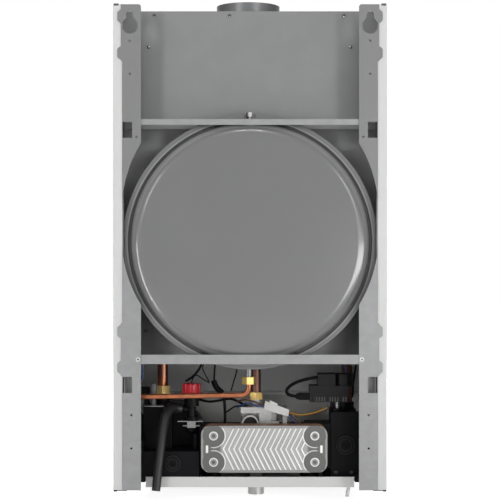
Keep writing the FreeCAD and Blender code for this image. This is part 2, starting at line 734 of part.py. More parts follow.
def fan_housing():
    """Scroll with an upward outlet that ends in the flue spigot, shut by an inlet plate."""
    d0, d1 = flue_depth - 29, flue_depth + 29 - seat
    x, c = fan_x, flue_across
    neck = 25
    flat = fan_z + 78
    lip = d1 - 2 - seat
    outer = [rod("y", x, d0, fan_z, lip - d0, fan_r), box(c - neck, c + neck, d0, lip, fan_z, flat)]
    outer += [box(c - neck - 7, c + neck + 7, d0 - 5, d1 + 5, flat - 2, flat)]
    outer += [rod("z", c, flue_depth, flat - 2, chamber_top + collar_rise - 2 - flat, flue_r)]
    inner = [rod("y", x, d0 + 2, fan_z, d1 - d0, fan_r - 3)]
    inner += [box(c + 3 - neck, c + neck - 3, d0 + 2, d1 + 1, fan_z, flat - 2)]
    inner += [rod("z", c, flue_depth, flat - 3, chamber_top + collar_rise + 5 - flat, flue_r - 7)]
    inner += [rod("z", c, flue_depth, flat, chamber_top + collar_rise - flat, flue_r - 1.2)]
    inner += [rod("y", x, d0 - 1, fan_z, 6, 6)]
    settle(cut(fuse(outer), inner), "fan_housing")
    lid = [rod("y", x, d1 - 2, fan_z, 2, fan_r), box(c - neck, c + neck, d1 - 2, d1, fan_z, flat - 2 - seat)]
    return settle(cut(fuse(lid), [rod("y", x, d1 - 4, fan_z, 6, 32)]), "fan_inlet_plate")


def fan_wheel():
    """Blade ring between a back disc and a front hoop, on a shaft."""
    body = new_body("fan_impeller")
    d0 = flue_depth - 20
    disc = circles(sketch(body, "XZ", d0), [(0, 0, wheel_r)])
    pad(body, disc, 2)
    pad(body, circles(sketch(body, "XZ", d0 - 34), [(0, 0, 3)]), 36)
    pad(body, circles(sketch(body, "XZ", d0), [(0, 0, 9)]), 16)
    hoop = sketch(body, "XZ", d0 + 36)
    circles(hoop, [(0, 0, wheel_r), (0, 0, wheel_r - 3)])
    blade = sketch(body, "XZ", d0 + 1)
    outline(blade, [(-0.8, wheel_r - 13), (0.8, wheel_r - 13), (4.8, wheel_r - 2), (3.2, wheel_r - 2)])
    vane = pad(body, blade, 36)
    polar(body, vane, blade, 28)
    pad(body, hoop, 2)
    return settle(body, "fan_impeller", fan_x, 0, fan_z)


def fan_motor():
    d1 = flue_depth - 29 - seat
    x = fan_x
    can = [rod("y", x, d1 - 33, fan_z, 29, 30), rod("y", x, d1 - 36, fan_z, 5, 22)]
    can += [rod("y", x, d1 - 5, fan_z, 5, 18), box(x - 40, x + 40, d1 - 12, d1 - 9, fan_z - 7, fan_z + 7)]
    can += [box(x - 40, x - 37, d1 - 12, d1, fan_z - 7, fan_z + 7)]
    can += [box(x + 37, x + 40, d1 - 12, d1, fan_z - 7, fan_z + 7)]
    bore = rod("y", x, d1 - 28, fan_z, 29, turn_fit + 3)
    return settle(cut(fuse(can), [bore]), "fan_motor")


def flue_hood():
    """Tapered hood over the fins with a box that feeds the fan from its front."""
    x = fan_x
    low, mid, high = hood_z + seat, hood_z + 34, fan_z + fan_r
    d_in = flue_depth + 29
    wide, back, front = burn_half - 5, burn_back + 10, burn_front - 10
    body = new_body("flue_hood")
    taper = [(-wide, low), (wide, low), (x + 60, mid), (x + 60, high), (x - 60, high), (x - 60, mid)]
    pad(body, outline(sketch(body, "XZ", d_in), taper), front - d_in)
    pad(body, outline(sketch(body, "XZ", back), [(-wide, low), (wide, low), (wide - 22, mid - 8),
                                                  (22 - wide, mid - 8)]), front - back)
    wall = 1.5
    inner = [(wall * 2 - wide, low), (wide - wall * 2, low), (x + 60 - wall, mid), (x + 60 - wall, high - wall)]
    inner += [(x - 60 + wall, high - wall), (x - 60 + wall, mid)]
    pocket(body, outline(sketch(body, "XZ", d_in + wall), inner), front - d_in - wall * 2)
    tray = [(wall * 2 - wide, low), (wide - wall * 2, low), (wide - 24, mid - 8 - wall), (24 - wide, mid - 8 - wall)]
    pocket(body, outline(sketch(body, "XZ", back + wall), tray), front - back - wall * 2)
    pocket(body, circles(sketch(body, "XZ", d_in - 1), [(x, fan_z, 32)]), 5)
    return settle(body, "flue_hood")


def primary_exchanger():
    """Copper fin block with five water tubes and an end header at each side."""
    body = new_body("primary_exchanger")
    low, high = hood_z - 69 + seat, hood_z
    back, front = burn_back + 11, burn_front - 11
    wide = burn_half - 7
    jacket = sketch(body, "YZ")
    for edge in (-back, 1.2 - front):
        rectangle(jacket, edge - 1.2, edge, low, high)
    pad(body, jacket, wide * 2, both=True)
    tubes = sketch(body, "YZ")
    middle = (low + high) / 2
    pitch = (front - back) / 5
    circles(tubes, [(-back - pitch * (i + 0.5), middle, 8) for i in range(5)])
    pad(body, tubes, wide * 2 + 2, both=True)
    heads = sketch(body, "YZ", wide)
    rectangle(heads, -front + 4, -back - 4, middle - 14, middle + 14)
    pad(body, heads, return_x + pipe_r + 3 - wide)
    heads = sketch(body, "YZ", -wide)
    rectangle(heads, -front + 4, -back - 4, middle - 14, middle + 14)
    pad(body, heads, pipe_r + 3 - flow_x - wide, backward=True)
    fin = sketch(body, "YZ", -wide)
    rectangle(fin, -front, -back, low, high)
    sheet_fin = pad(body, fin, 1.0)
    row(body, sheet_fin, fin, "N_Axis", wide * 2 - 1, 33)
    return settle(body, "primary_exchanger")


def combustion_parts():
    low, high = burner_top, hood_z - 69
    wide, back, front = burn_half, burn_back, burn_front
    skin = box(-wide, wide, back, front, low, high)
    hollow = box(-wide + 1.2, wide - 1.2, back + 1.2, front - 1.2, low - 1, high + 1)
    ways = [rod("y", x, front - 3, low + 20, 5, 3.9) for x in (-60, -38, 60)]
    settle(cut(skin, [hollow] + ways), "combustion_box")
    a, b = back + 1.2 + seat, front - 1.2 - seat
    w = wide - 1.2 - seat
    ways = [rod("y", x, b - 14, low + 20, 16, 3.9) for x in (-60, -38, 60)]
    boards = [box(-w, w, a, a + 12, low, high), cut(box(-w, w, b - 12, b, low, high), ways)]
    boards += [box(-w, 12 - w, a + 12 + seat, b - 12 - seat, low, high)]
    boards += [box(w - 12, w, a + 12 + seat, b - 12 - seat, low, high)]
    settle(group(boards), "insulation_boards")
    rods = []
    for x in (-60, -38, 60):
        stem = rod("y", x, front - 30, low + 20, 36, 3.5)
        tip = rod("y", x, front - 48, low + 20, 20, 1.0)
        plate = box(x - 8, x + 8, front + seat, front + 1.5, low + 10, low + 30)
        rods.append(fuse([stem, tip, plate]))
    settle(group(rods), "electrodes")


def burner():
    """Blade burner: a row of ported blades held by two rails."""
    body = new_body("burner")
    low, high = burner_top - 38, burner_top - seat
    wide = burn_half - 5
    pitch = wide * 2 - 24
    blade = sketch(body, "YZ", 2 - wide)
    foot = [(-burn_front + 14, low), (-burn_back - 14, low), (-burn_back - 14, low + 8)]
    foot += [(-burn_back - 14, high), (-burn_front + 14, high)]
    outline(blade, foot)
    body_blade = pad(body, blade, 9)
    row(body, body_blade, blade, "N_Axis", pitch + 8, 12)
    rails = sketch(body, "YZ", -wide)
    rectangle(rails, -burn_front + 12, -burn_front + 16, low + 6, low + 20)
    rectangle(rails, -burn_back - 16, -burn_back - 12, low + 6, low + 20)
    pad(body, rails, wide * 2)
    return settle(body, "burner")


def gas_manifold():
    low = chamber_floor + panel_sheet + seat
    top = burner_top - 38 - seat
    wide = burn_half - 10
    bar = [box(-wide, wide, pipe_depth - 9, pipe_depth + 9, low + 6, top - 5)]
    for x in (-1, 1):
        foot = sorted([x * (wide - 14), x * wide], key=lambda d: d.value)
        bar.append(box(foot[0], foot[1], pipe_depth - 9, pipe_depth + 9, low, low + 7))
    step = (burn_half * 2 - 26) / 11
    for i in range(12):
        bar.append(rod("z", step * i - burn_half + 11.5, pipe_depth, top - 6, 6, 3.5))
    return settle(fuse(bar), "gas_manifold")


# Expansion vessel

def vessel_shells():
    """Two pressed shells, the front one crimped round the flange of the rear one."""
    t = shell_wall
    b, f, rb = vessel_back, vessel_front, rim_back
    seam = rb + t
    crown_r, crown_curve = shell_r / 2, shell_r * 15
    rear = [(0, -b), (crown_r, -b, crown_curve), (shell_r, -b - 3, shoulder), (shell_r, -seam - 2.2)]
    rear += [(vessel_r - rim_band + 0.6, -seam - 2.2), (vessel_r - rim_band + 0.6, -seam - seat)]
    rear += [(vessel_r - t - 0.5, -seam - seat), (vessel_r - t - 0.5, -seam - 3.7), (shell_r - t, -seam - 3.7)]
    rear += [(shell_r - t, -b - 3 - t, shoulder - t), (crown_r, -b - t, crown_curve), (0, -b - t)]
    body = turned("vessel_rear_shell", rear, "XY")
    settle(body, "vessel_rear_shell", 0, 0, vessel_height)
    front = [(0, -f), (0, t - f), (crown_r, t - f, crown_curve), (shell_r - t, 3 + t - f, 10.2), (shell_r - t, -seam - 5.2)]
    front += [(vessel_r - t, -seam - 5.2), (vessel_r - t, -seam), (vessel_r - rim_band, -seam)]
    front += [(vessel_r - rim_band, -rb, 0.8), (vessel_r, -rb, 1.2), (vessel_r, -seam - 5.2 - t, 1.2)]
    front += [(shell_r, -seam - 5.2 - t), (shell_r, 3 - f, 12), (crown_r, -f, crown_curve)]
    body = turned("vessel_front_shell", front, "XY")
    nipple = circles(sketch(body, "XY", -vessel_r - 11), [(1.7, -rb - 5, 4.2)])
    pad(body, nipple, 12)
    settle(body, "vessel_front_shell", 0, 0, vessel_height)
    sheet_low, sheet_high = -seam - 3.9, -seam - 5.0
    web = [(0, sheet_low), (0, sheet_high), (vessel_r - t - 0.6, sheet_high), (vessel_r - t - 0.6, sheet_low)]
    settle(turned("vessel_diaphragm", web, "XY"), "vessel_diaphragm", 0, 0, vessel_height)


def charge_valve():
    depth = rim_back - 6
    base = vessel_height + shell_r
    stem = [(0, seat), (4, seat), (4, 2), (2.6, 2.6), (2.6, 8.2), (1.9, 8.2), (1.9, 12.4), (0, 12.4)]
    settle(turned("charge_valve", stem), "charge_valve", 0, -depth, base)
    bore = 1.9 + turn_fit
    cap = [(bore, 8.4), (3.0, 8.4), (3.0, 14.9, 1), (0, 14.9), (0, 12.8), (bore, 12.8)]
    settle(turned("charge_valve_cap", cap), "charge_valve_cap", 0, -depth, base)


def vessel_tube():
    start = rim_back + 5
    height = tube_height
    last = group_x + 10
    points = [(1.7, start, height + 26), (1.7, start, height), (last, start + 6, height - 3.5)]
    points += [(last, 99.7, height - 3.5)]
    item = swept("vessel_tube", points, [12, 12], tube_r.value, tube_r.value - 0.8)
    return settle(item, "vessel_tube")


def nut(x, d, z, tall, across, bore, turn):
    return cut(hexagon(x, d, z, tall, across, turn), [rod("z", x, d, dim(z) - 1, dim(tall) + 2, bore)])


def brass_nuts():
    items = [nut(1.7, rim_back + 5, tube_height + 16.7, 10.7, 18, tube_r + seat, 12)]
    items.append(nut(return_x, pipe_depth, 133, 13, 23, pipe_r + seat, 30))
    items.append(nut(gas_across, pipe_depth, 124.4, 11, 20, pipe_r - 0.4, 30))
    return settle(group(items), "brass_nuts")


# Plate exchanger

def plate_outline(inset):
    x0, x1 = plate_centre - plate_length / 2 + inset, plate_centre + plate_length / 2 - inset
    z0, z1 = plate_middle - plate_height / 2 + inset, plate_middle + plate_height / 2 - inset
    r = 14 - inset
    return [(x0, z0, r), (x1, z0, r), (x1, z1, r), (x0, z1, r)]


def ports(radius):
    rows = []
    for sx in (-1, 1):
        for sz in (-1, 1):
            rows.append((plate_centre + sx * port_across / 2, plate_middle + sz * port_up / 2, radius))
    return rows


def plate_cover():
    """Pressed end plate: rim, sixteen chevrons between the ears, ringed ports."""
    body = new_body("plate_cover")
    face = plate_back
    pad(body, outline(sketch(body, "XZ", face), plate_outline(0)), 2)
    rim = sketch(body, "XZ", face)
    outline(rim, plate_outline(0))
    outline(rim, plate_outline(2.4))
    pad(body, rim, 1.2, backward=True)
    ridge = sketch(body, "XZ", face)
    apex = plate_centre + port_across / 2 - 15
    w, rise = 1.8, plate_height / 2 - 3
    lean = rise / 2
    zc = plate_middle
    vee = [(apex + w, zc, 2), (apex + w - lean, zc + rise), (apex - w - lean, zc + rise)]
    vee += [(apex - w, zc, 2), (apex - w - lean, zc - rise), (apex + w - lean, zc - rise)]
    outline(ridge, vee)
    bar = pad(body, ridge, ridge_rise, backward=True)
    bar.TaperAngle = -25
    row(body, bar, ridge, "H_Axis", ridge_pitch * 15, 16, backward=True)
    pocket(body, circles(sketch(body, "XZ", face), ports(18.4)), ridge_rise + 1, backward=False)
    ears = sketch(body, "XZ", face)
    circles(ears, ports(18.4))
    circles(ears, ports(16.9))
    pad(body, ears, 1.2, backward=True)
    boss = sketch(body, "XZ", face)
    circles(boss, ports(6.5))
    circles(boss, ports(3))
    pad(body, boss, 2.0, backward=True)
    trim = sketch(body, "XZ", face)
    outline(trim, [(c[0] + sx * 20, c[1] + sz * 20) for c, sx, sz in
                   zip(plate_outline(0), (-1, 1, 1, -1), (-1, -1, 1, 1))])
    outline(trim, plate_outline(0))
    pocket(body, trim, 3, backward=False)
    return settle(body, "plate_cover")


def plate_pack():
    """Brazed stack: a core with the folded edge of each plate standing proud."""
    body = new_body("plate_pack")
    face = plate_back + 2
    pad(body, outline(sketch(body, "XZ", face), plate_outline(2.2)), pack_depth)
    edge = sketch(body, "XZ", face)
    outline(edge, plate_outline(0.4))
    fold = pad(body, edge, 1.3)
    row(body, fold, edge, "N_Axis", pack_depth - 1.3, 12)
    return settle(body, "plate_pack")


# Water groups

def return_group():
    """Black moulding: pump housing, filter cap, exchanger arm, tube arm and rail lug."""
    g = group_x
    px, pz = g - 50, 68
    parts = [box(valve_across - 13, g, 45, 118, 6, 52), box(g - 45, g, 82, 130, 5, 117)]
    parts += [box(g - 1, g + 14, 96, 130, 5, 100)]
    parts += [rod("z", return_x, pipe_depth, 110, 22.7, 11)]
    parts += [box(42, valve_across - 13, plate_front + seat, 118, 24, 88)]
    parts += [rod("z", valve_across - 6.3, valve_depth, 50, 25, 5.5)]
    parts += [rod("y", g - 48, 41, 34, 5, 12.4), rod("y", g - 48, 39.6, 34, 3, 8)]
    parts += [rod("y", px, 116, pz, 30, 46)]
    parts += [box(g - 9, g + 18, 100, 114, tube_height - 13, tube_height + 5)]
    parts += [box(g - 9, g, 100, 114, 40, tube_height - 10)]
    parts += [box(g - 4, rail_out - 5, rail_sheet + seat, 96, 56, 72)]
    parts += [box(g - 5.5, g + 2, 44, 54, 5, 16)]
    parts += [rod("z", g - 36, stub_depth, -stub_end, 30, stub_r)]
    parts += [rod("z", g - 36, stub_depth, rail_sheet + seat, 14, stub_r + 4)]
    parts += [rod("z", 60, stub_depth, -stub_end, 42, tap_r)]
    parts += [rod("z", 60, stub_depth, rail_sheet + seat, 24, tap_r + 4)]
    holes = [rod("y", g - 48, 39, 34, 4, 3.5)]
    holes += [rod("z", g - 36, stub_depth, -stub_end - 1, 14, stub_r - 3.5)]
    holes += [rod("z", 60, stub_depth, -stub_end - 1, 14, tap_r - 3)]
    holes += [rod("z", return_x, pipe_depth, 122, 12, pipe_r - 1)]
    return settle(cut(fuse(parts), holes), "return_group")


def flow_group():
    """Black moulding with the diverter seat, sensor cap and exchanger arm."""
    g = -group_x
    arm = plate_centre - port_across / 2
    parts = [box(g, g + 41, 62, 130, 5, 110), box(g - 14, g + 1, 96, 130, 5, 104)]
    parts += [box(g + 40, arm + 14, plate_front + seat, 118, 24, 92)]
    parts += [rod("y", g + 19, 58, 60, 5, 14.4), rod("y", g + 19, 56.6, 60, 3, 10)]
    parts += [rod("z", flow_x, pipe_depth, 100, 20, 11)]
    parts += [rod("z", g + 30, 85, 109, 5, 9)]
    parts += [box(-rail_out + 5, g + 1, rail_sheet + seat, 84, 56, 72)]
    parts += [box(g - 2, g + 5.5, 44, 64, 5, 16), rod("z", g + 9.3, 109.6, 1, 15, 6.2)]
    parts += [rod("z", g + 36, stub_depth, -stub_end, 30, stub_r)]
    parts += [rod("z", g + 36, stub_depth, rail_sheet + seat, 14, stub_r + 4)]
    parts += [rod("z", -92, stub_depth, -stub_end, 42, tap_r)]
    parts += [rod("z", -92, stub_depth, rail_sheet + seat, 24, tap_r + 4)]
    holes = [rod("y", g + 19, 56, 60, 4, 5)]
    holes += [rod("z", g + 36, stub_depth, -stub_end - 1, 14, stub_r - 3.5)]
    holes += [rod("z", g + 9, 109.6, 0, 14.2, clear_r + 1.4)]
    holes += [rod("z", -92, stub_depth, -stub_end - 1, 14, tap_r - 3)]
    holes += [rod("z", g + 30, 85, 90, 30, spindle_r + turn_fit)]
    holes += [rod("z", flow_x, pipe_depth, 112, 12, pipe_r - 1)]
    return settle(cut(fuse(parts), holes), "flow_group")


def pump_motor():
    x, z = group_x - 50, 68
    d = 146 + seat
    can = [rod("y", x, d, z, 8, 46), rod("y", x, d, z, 40, 41), rod("y", x, d + 38, z, 10, 30)]
    can += [box(x - 24, x + 24, d + 8, d + 40, z + 30, z + 50)]
    return settle(fuse(can), "pump_motor")


def diverter():
    """Actuator with its ribbed skirt, and the spindle that it pushes."""
    g = -group_x
    x0, x1 = g + 14, g + 74
    parts = [box(x0, x1, 66, 104, 136.4, 150), box(x0 + 1, x1, 67, 103, 125, 137)]
    parts += [box(x0 + 20, x1 - 13, 68, 102, 149, 168), rod("z", x0 + 6, 84, 149, 19, 14.5)]
    for i in range(14):
        parts.append(box(x0 + 3 + i * 4.1, x0 + 5 + i * 4.1, 65.6, 68, 126, 133))
    parts += [box(x0 + 4, x0 + 12, 96, 103, 110 + seat, 126), box(x0 + 19, x0 + 27, 98, 103, 110 + seat, 126)]
    bore = rod("z", g + 30, 85, 124, 18, spindle_r + turn_fit)
    settle(cut(fuse(parts), [bore]), "diverter_actuator")
    settle(rod("z", g + 30, 85, 0, 34, spindle_r), "diverter_spindle", g + 30, -85, 100)


def safety_valve():
    x, d = valve_across, valve_depth
    body = [(0, 75.3), (6, 75.3, 3), (9, 80, 2), (9, 98), (12, 98), (12, 101), (7, 101), (7, 117)]
    body += [(11.5, 118), (11.5, 135, 1.5), (5, 135), (5, 146), (0, 146)]
    item = turned("safety_valve_body", body)
    spout = sketch(item, "YZ", 4)
    circles(spout, [(0, 113.2, 5)])
    pad(item, spout, 9.4)
    settle(item, "safety_valve_body", x, -d)
    knob = new_body("safety_valve_knob")
    base = circles(sketch(knob, "XY", 135.4), [(0, 0, knob_r)])
    drum = pad(knob, base, 17.4)
    doc.recompute()
    top = [i for i, f in enumerate(knob.Shape.Faces) if abs(f.CenterOfMass.z - 152.8) < 1e-3]
    soft = knob.newObject("PartDesign::Fillet", "safety_valve_knob_soft")
    soft.Base = (drum, ["Face%d" % (top[0] + 1)])
    soft.Radius = 1.8
    groove = circles(sketch(knob, "XY", 137), [(0, knob_r + 1, 2.2)])
    flute = pocket(knob, groove, 30)
    polar(knob, flute, groove, 12)
    bore = circles(sketch(knob, "XY", 135.4), [(0, 0, turn_fit + 5)])
    pocket(knob, bore, 11)
    settle(knob, "safety_valve_knob", x, -d)


def spring_clips():
    x, d = valve_across, valve_depth
    upper = cut(box(x - 18, x + 21, d - 16, d + 10, 95, 96.4), [rod("z", x, d, 94, 4, 9.4)])
    lower = cut(box(x - 13, x + 13, d - 14, d + 8, 88, 89.4), [rod("z", x, d, 87, 4, 9.4)])
    front = box(x - 7, x + 6, d - 17.5, d - 16, 86, 96.4)
    g = group_x
    vent = cut(box(g - 32, g - 1, 76, 99.7, 117, 118.4), [rod("z", g - 15.4, 92, 116, 4, 5.0),
                                                       rod("z", return_x, pipe_depth, 116, 4, 20)])
    return settle(group([fuse([upper, front]), lower, vent]), "spring_clips")


def air_vent():
    x = group_x - 15.4
    profile = [(0, 117 + seat), (4, 117 + seat), (4, 137), (5.4, 138), (5.4, 151.4, 1.2), (0, 151.4)]
    return settle(turned("air_vent", profile), "air_vent", x, -92)


def hose_points():
    x, d = valve_across, valve_depth
    return [(x + 15.8, d - 0.2, 113.4), (x + 23.5, d - 2, 115), (x + 33, d - 11.5, 115.3),
            (x + 39.5, d - 22, 106), (x + 42.3, d - 32, 90), (x + 44.2, d - 42, 69), (x + 46.6, d - 50, 45),
            (x + 49.4, d - 55, 20), (x + 51.5, d - 57.6, -4.4)]


def clear_points():
    x = 9.3 - group_x
    return [(x, 110, 13.3), (x - 1, 109, 3), (x + 0.6, 107.5, -8), (x + 3, 107, -18.5), (x + 4.6, 106.5, -27.5)]


def hoses():
    points = hose_points()
    settle(swept("drain_hose", points, easy_bends(points), hose_r.value, hose_r.value - 2), "drain_hose")
    points = clear_points()
    settle(swept("clear_hose", points, easy_bends(points), clear_r.value, clear_r.value - 1), "clear_hose")


# Pipes and gas line

def pipe(label, x, low, high, radius):
    tube = rod("z", x, pipe_depth, low, dim(high) - low, radius)
    bore = rod("z", x, pipe_depth, dim(low) - 1, dim(high) - low + 2, radius - pipe_wall)
    return settle(cut(tube, [bore]), label)


def pipes():
    head = hood_z - 34.5 - 14
    pipe("heating_return_pipe", return_x, 132.7 + seat, head + 0.15 - seat, pipe_r)
    pipe("heating_flow_pipe", flow_x, 120 + seat, head + 0.15 - seat, pipe_r)
    pipe("gas_pipe", gas_across, 124.4, chamber_floor + panel_sheet + 6, pipe_r - 0.7)


def gas_parts():
    """Die-cast gas valve with a rear ring port, and the threaded gas connection under it."""
    x = gas_across
    parts = [box(x - 36, x + 24, 97, 165, 42, 92), box(x - 40, x + 24, 90, 150, 105.5, 114.6)]
    parts += [box(x - 23.5, x - 4.5, 94, 150, 88, 107), box(x - 32, x + 22, 112, 150, 90, 107)]
    parts += [box(x - 48.5, x - 41.5, 96, 140, 60, 113), box(x - 44, x - 30, 100, 140, 60, 76)]
    parts += [rod("y", x + 9, 87, 89.6, 14, 13.1), rod("z", x, pipe_depth, 110, 14.2, 9.5)]
    parts += [box(x - 22.5, x - 20.5, 92.5, 95, 88, 106), box(x - 15, x - 13, 92.5, 95, 88, 106)]
    parts += [box(x - 7.5, x - 5.5, 92.5, 95, 88, 106), rod("z", x, gas_stub_depth, 36, 8, 16)]
    holes = [rod("y", x + 9, 86, 89.6, 9, 10.6), rod("z", x, pipe_depth, 120, 6, 5)]
    settle(cut(fuse(parts), holes), "gas_valve")
    top = 36 - seat
    stub = [rod("z", x, gas_stub_depth, -gas_end, gas_end + top, gas_stub_r)]
    stub += [hexagon(x, gas_stub_depth, rail_sheet + seat, 9, 34, 0)]
    bore = rod("z", x, gas_stub_depth, -gas_end - 1, gas_end + top + 2, gas_stub_r - 3)
    settle(cut(fuse(stub), [bore]), "gas_stub")


def connector():
    """White plug that sits tilted on the rear of the gas valve."""
    x, d = gas_across, dim(92 - 0.3)
    body = new_body("valve_connector")
    tilt = [(x - 14.5, 126), (x - 12, 112.5), (x - 50, 101.5), (x - 51, 112)]
    pad(body, outline(sketch(body, "XZ", d - 13), tilt), 11)
    latch = [(x - 21, 127), (x - 33, 122), (x - 33, 118), (x - 21, 121.5)]
    pad(body, outline(sketch(body, "XZ", d - 14.5), latch), 4)
    return settle(body, "valve_connector")


def lead(name, points, radius):
    return swept(name, points, easy_bends(points), radius, 0)


def leads():
    g = -group_x
    x = gas_across
    loop = [(g + 61.4, 75, 163), (g + 78, 74, 160.5), (g + 96, 72, 155), (g + 108, 71, 147), (g + 110.5, 71, 139)]
    loop += [(g + 103, 72, 134.5), (g + 95.3, 72.5, 133.6)]
    plug = box(g + 74 + seat, g + 95, 68, 78, 128.4, 138.8)
    top = chamber_floor - 0.8
    first = [(72, 104, top), (74, 104, 186), (80, 104, 172), (90, 105, 160), (101, 108, 154)]
    second = [(55, 108, top), (54, 108, 188), (56, 108, 170), (55.5, 109, 151.5)]
    cap = box(42, 62, 102, 116, 137, 151.6)
    third = [(20, 106, top), (22, 106, 190), (20, 107, 172), (25, 109, 155), (30, 112, 138)]
    fourth = [(64, 101, top), (66, 100, 190), (76, 99, 177), (70, 98, 165), (64, 99, 154)]
    items = [lead("actuator_lead", loop, 2.7), plug, lead("pump_lead", first, 2.2), lead("sensor_lead", second, 2.0)]
    items += [cap, lead("fan_lead", third, 1.6), lead("spare_lead", fourth, 1.3)]
    settle(group(items), "black_leads")
    amber = [(x - 51.6, 84, 107.5), (x - 62, 84, 104), (x - 74, 84, 103.2), (x - 88, 84, 106), (x - 100, 84, 110)]
    amber += [(x - 110, 85, 114.6)]
    brown = [(x - 12.6, 85, 119), (x - 3, 84, 122), (x + 9, 85, 126), (x + 20, 92, 127)]
    brown += [(x + 30, 104, 122)]
    blue = [(x - 12.4, 81.5, 116.5), (x - 3, 80, 117), (x + 8, 80, 121.5), (x + 19, 86, 121)]
    blue += [(x + 29, 99, 114)]
    drop = [(g + 21, 100, top), (g + 26, 100, 190), (g + 24, 100, 178), (g + 18, 101, 171.8)]
    left = [(group_x + 1, 96, top), (group_x + 3, 96, 188), (group_x + 1, 97, 172), (group_x + 3, 98, 157)]
    items = [lead("earth_lead", amber, 1.5), lead("brown_lead", brown, 1.3), lead("blue_lead", blue, 1.3)]
    items += [lead("right_lead", drop, 1.8), lead("left_lead", left, 1.8)]
    settle(group(items), "colour_leads")


# Control panel

def control_fascia():
    """Front moulding under the cover with holes for the knobs and the reset button."""
    body = new_body("control_fascia")
    plan = [(-half, 0, 5), (half, 0, 5), (half, fascia_height, 5), (-half, fascia_height, 5)]
    pad(body, outline(sketch(body, "XZ", casing_depth), plan), fascia_depth, backward=True)
    w = fascia_wall
    inner = [(w - half, w, 3), (half - w, w, 3), (half - w, fascia_height - w, 3), (w - half, fascia_height - w, 3)]
    pocket(body, outline(sketch(body, "XZ", fascia_back), inner), fascia_depth - w)
    holes = [(dial_across, dial_height, 3.6), (-dial_across, dial_height, 3.6), (0, 26, button_r + turn_fit)]
    pocket(body, circles(sketch(body, "XZ", casing_depth - w - 1), holes), w + 2)
    return settle(body, "control_fascia")


def control_box():
    front = casing_depth - fascia_wall
    shell = [box(-box_half, box_half, box_back, front - seat, 5, box_top)]
    pin = box_half + 12 + 2
    shell += [rod("x", -pin, pivot_depth, 8, pin * 2, pivot_r)]
    holes = []
    for x in (dial_across, -dial_across):
        holes.append(rod("y", x, front - 20, dial_height, 24, turn_fit + 3))
    holes.append(rod("y", 0, front - 20, 26, 24, button_r + 1))
    return settle(cut(fuse(shell), holes), "control_box")


def dial(label, x):
    """Control knob: tapered grip with flutes, pointer rib and a shaft."""
    body = new_body(label)
    face = casing_depth + 0.4
    grip = pad(body, circles(sketch(body, "XZ", face), [(0, 0, dial_r)]), dial_rise)
    grip.TaperAngle = -6
    flute = circles(sketch(body, "XZ", face + 3), [(0, dial_r + 1.4, 3)])
    notch = pocket(body, flute, dial_rise)
    polar(body, notch, flute, 16)
    shaft = circles(sketch(body, "XZ", casing_depth - fascia_wall - 16), [(0, 0, 3)])
    pad(body, shaft, fascia_wall + 18)
    pointer = rectangle(sketch(body, "XZ", face + dial_rise - 1), -1.4, 1.4, 3, dial_r - 6)
    pad(body, pointer, 2)
    return settle(body, label, x, 0, dial_height)


def panel_controls():
    dial("heating_knob", -dial_across)
    dial("hot_water_knob", dial_across)
    button = new_body("reset_button")
    stem = circles(sketch(button, "XZ", casing_depth - fascia_wall - 6), [(0, 0, button_r)])
    pad(button, stem, fascia_wall + 8.5)
    settle(button, "reset_button", 0, 0, 26)
    window = new_body("display_window")
    plan = [(-38, dial_height - 20, 4), (38, dial_height - 20, 4), (38, dial_height + 20, 4), (-38, dial_height + 20, 4)]
    pad(window, outline(sketch(window, "XZ", casing_depth), plan), 1.2)
    settle(window, "display_window")


def build():
    rail("right_rail", 1)
    rail("left_rail", -1)
    crossbar("upper_crossbar", vessel_height + shell_r - 5.4, 8.6, True, True)
    crossbar("lower_crossbar", vessel_height - shell_r - 2, 14, False, False)
    side_panel("right_side_panel", 1)
    side_panel("left_side_panel", -1)
    bottom_bar()
    frame_screws()
    front_cover()
    chamber_back_sheet()
    chamber_panels()
    flue_collar()
    fan_housing()
    fan_wheel()
    fan_motor()
    flue_hood()
    primary_exchanger()
    combustion_parts()
    burner()
    gas_manifold()
    vessel_shells()
    charge_valve()
    vessel_tube()
    brass_nuts()
    plate_cover()
    plate_pack()
    return_group()
    flow_group()
    pump_motor()
    diverter()
    safety_valve()
    spring_clips()
    air_vent()
    hoses()
    pipes()
    gas_parts()
    connector()
    leads()
    control_fascia()
    control_box()
    panel_controls()


build()
doc.recompute()
for item in doc.Objects:
    if "Invalid" in item.State or "Error" in item.State:
        raise RuntimeError("%s does not build: %s" % (item.Label, item.State))
for item in pieces:
    if item.Shape.isNull() or not item.Shape.isValid():
        raise RuntimeError("%s has no valid shape" % item.Label)
    item.Shape.exportStep("parts/%s.step" % item.Label)
    print("%-22s solids %d volume %.0f" % (item.Label, len(item.Shape.Solids), item.Shape.Volume))
print("pieces", len(pieces))
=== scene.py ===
import math

import bmesh
import bpy
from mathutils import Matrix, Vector


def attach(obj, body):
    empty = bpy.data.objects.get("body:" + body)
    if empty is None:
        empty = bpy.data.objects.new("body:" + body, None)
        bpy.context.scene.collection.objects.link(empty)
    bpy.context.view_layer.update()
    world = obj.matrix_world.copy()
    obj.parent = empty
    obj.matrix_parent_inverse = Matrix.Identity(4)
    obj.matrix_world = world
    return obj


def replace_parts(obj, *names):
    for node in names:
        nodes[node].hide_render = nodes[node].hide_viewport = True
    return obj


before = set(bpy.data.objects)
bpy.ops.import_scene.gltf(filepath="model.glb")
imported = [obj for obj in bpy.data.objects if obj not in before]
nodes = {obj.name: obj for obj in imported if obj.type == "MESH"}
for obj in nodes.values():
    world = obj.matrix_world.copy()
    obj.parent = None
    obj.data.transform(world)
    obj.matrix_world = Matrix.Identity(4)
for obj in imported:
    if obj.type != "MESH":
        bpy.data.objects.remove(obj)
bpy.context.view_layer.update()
hookHeight = 0.696  # rail foot to keyhole centres, metres
print("frame loaded:", len(nodes), "nodes")


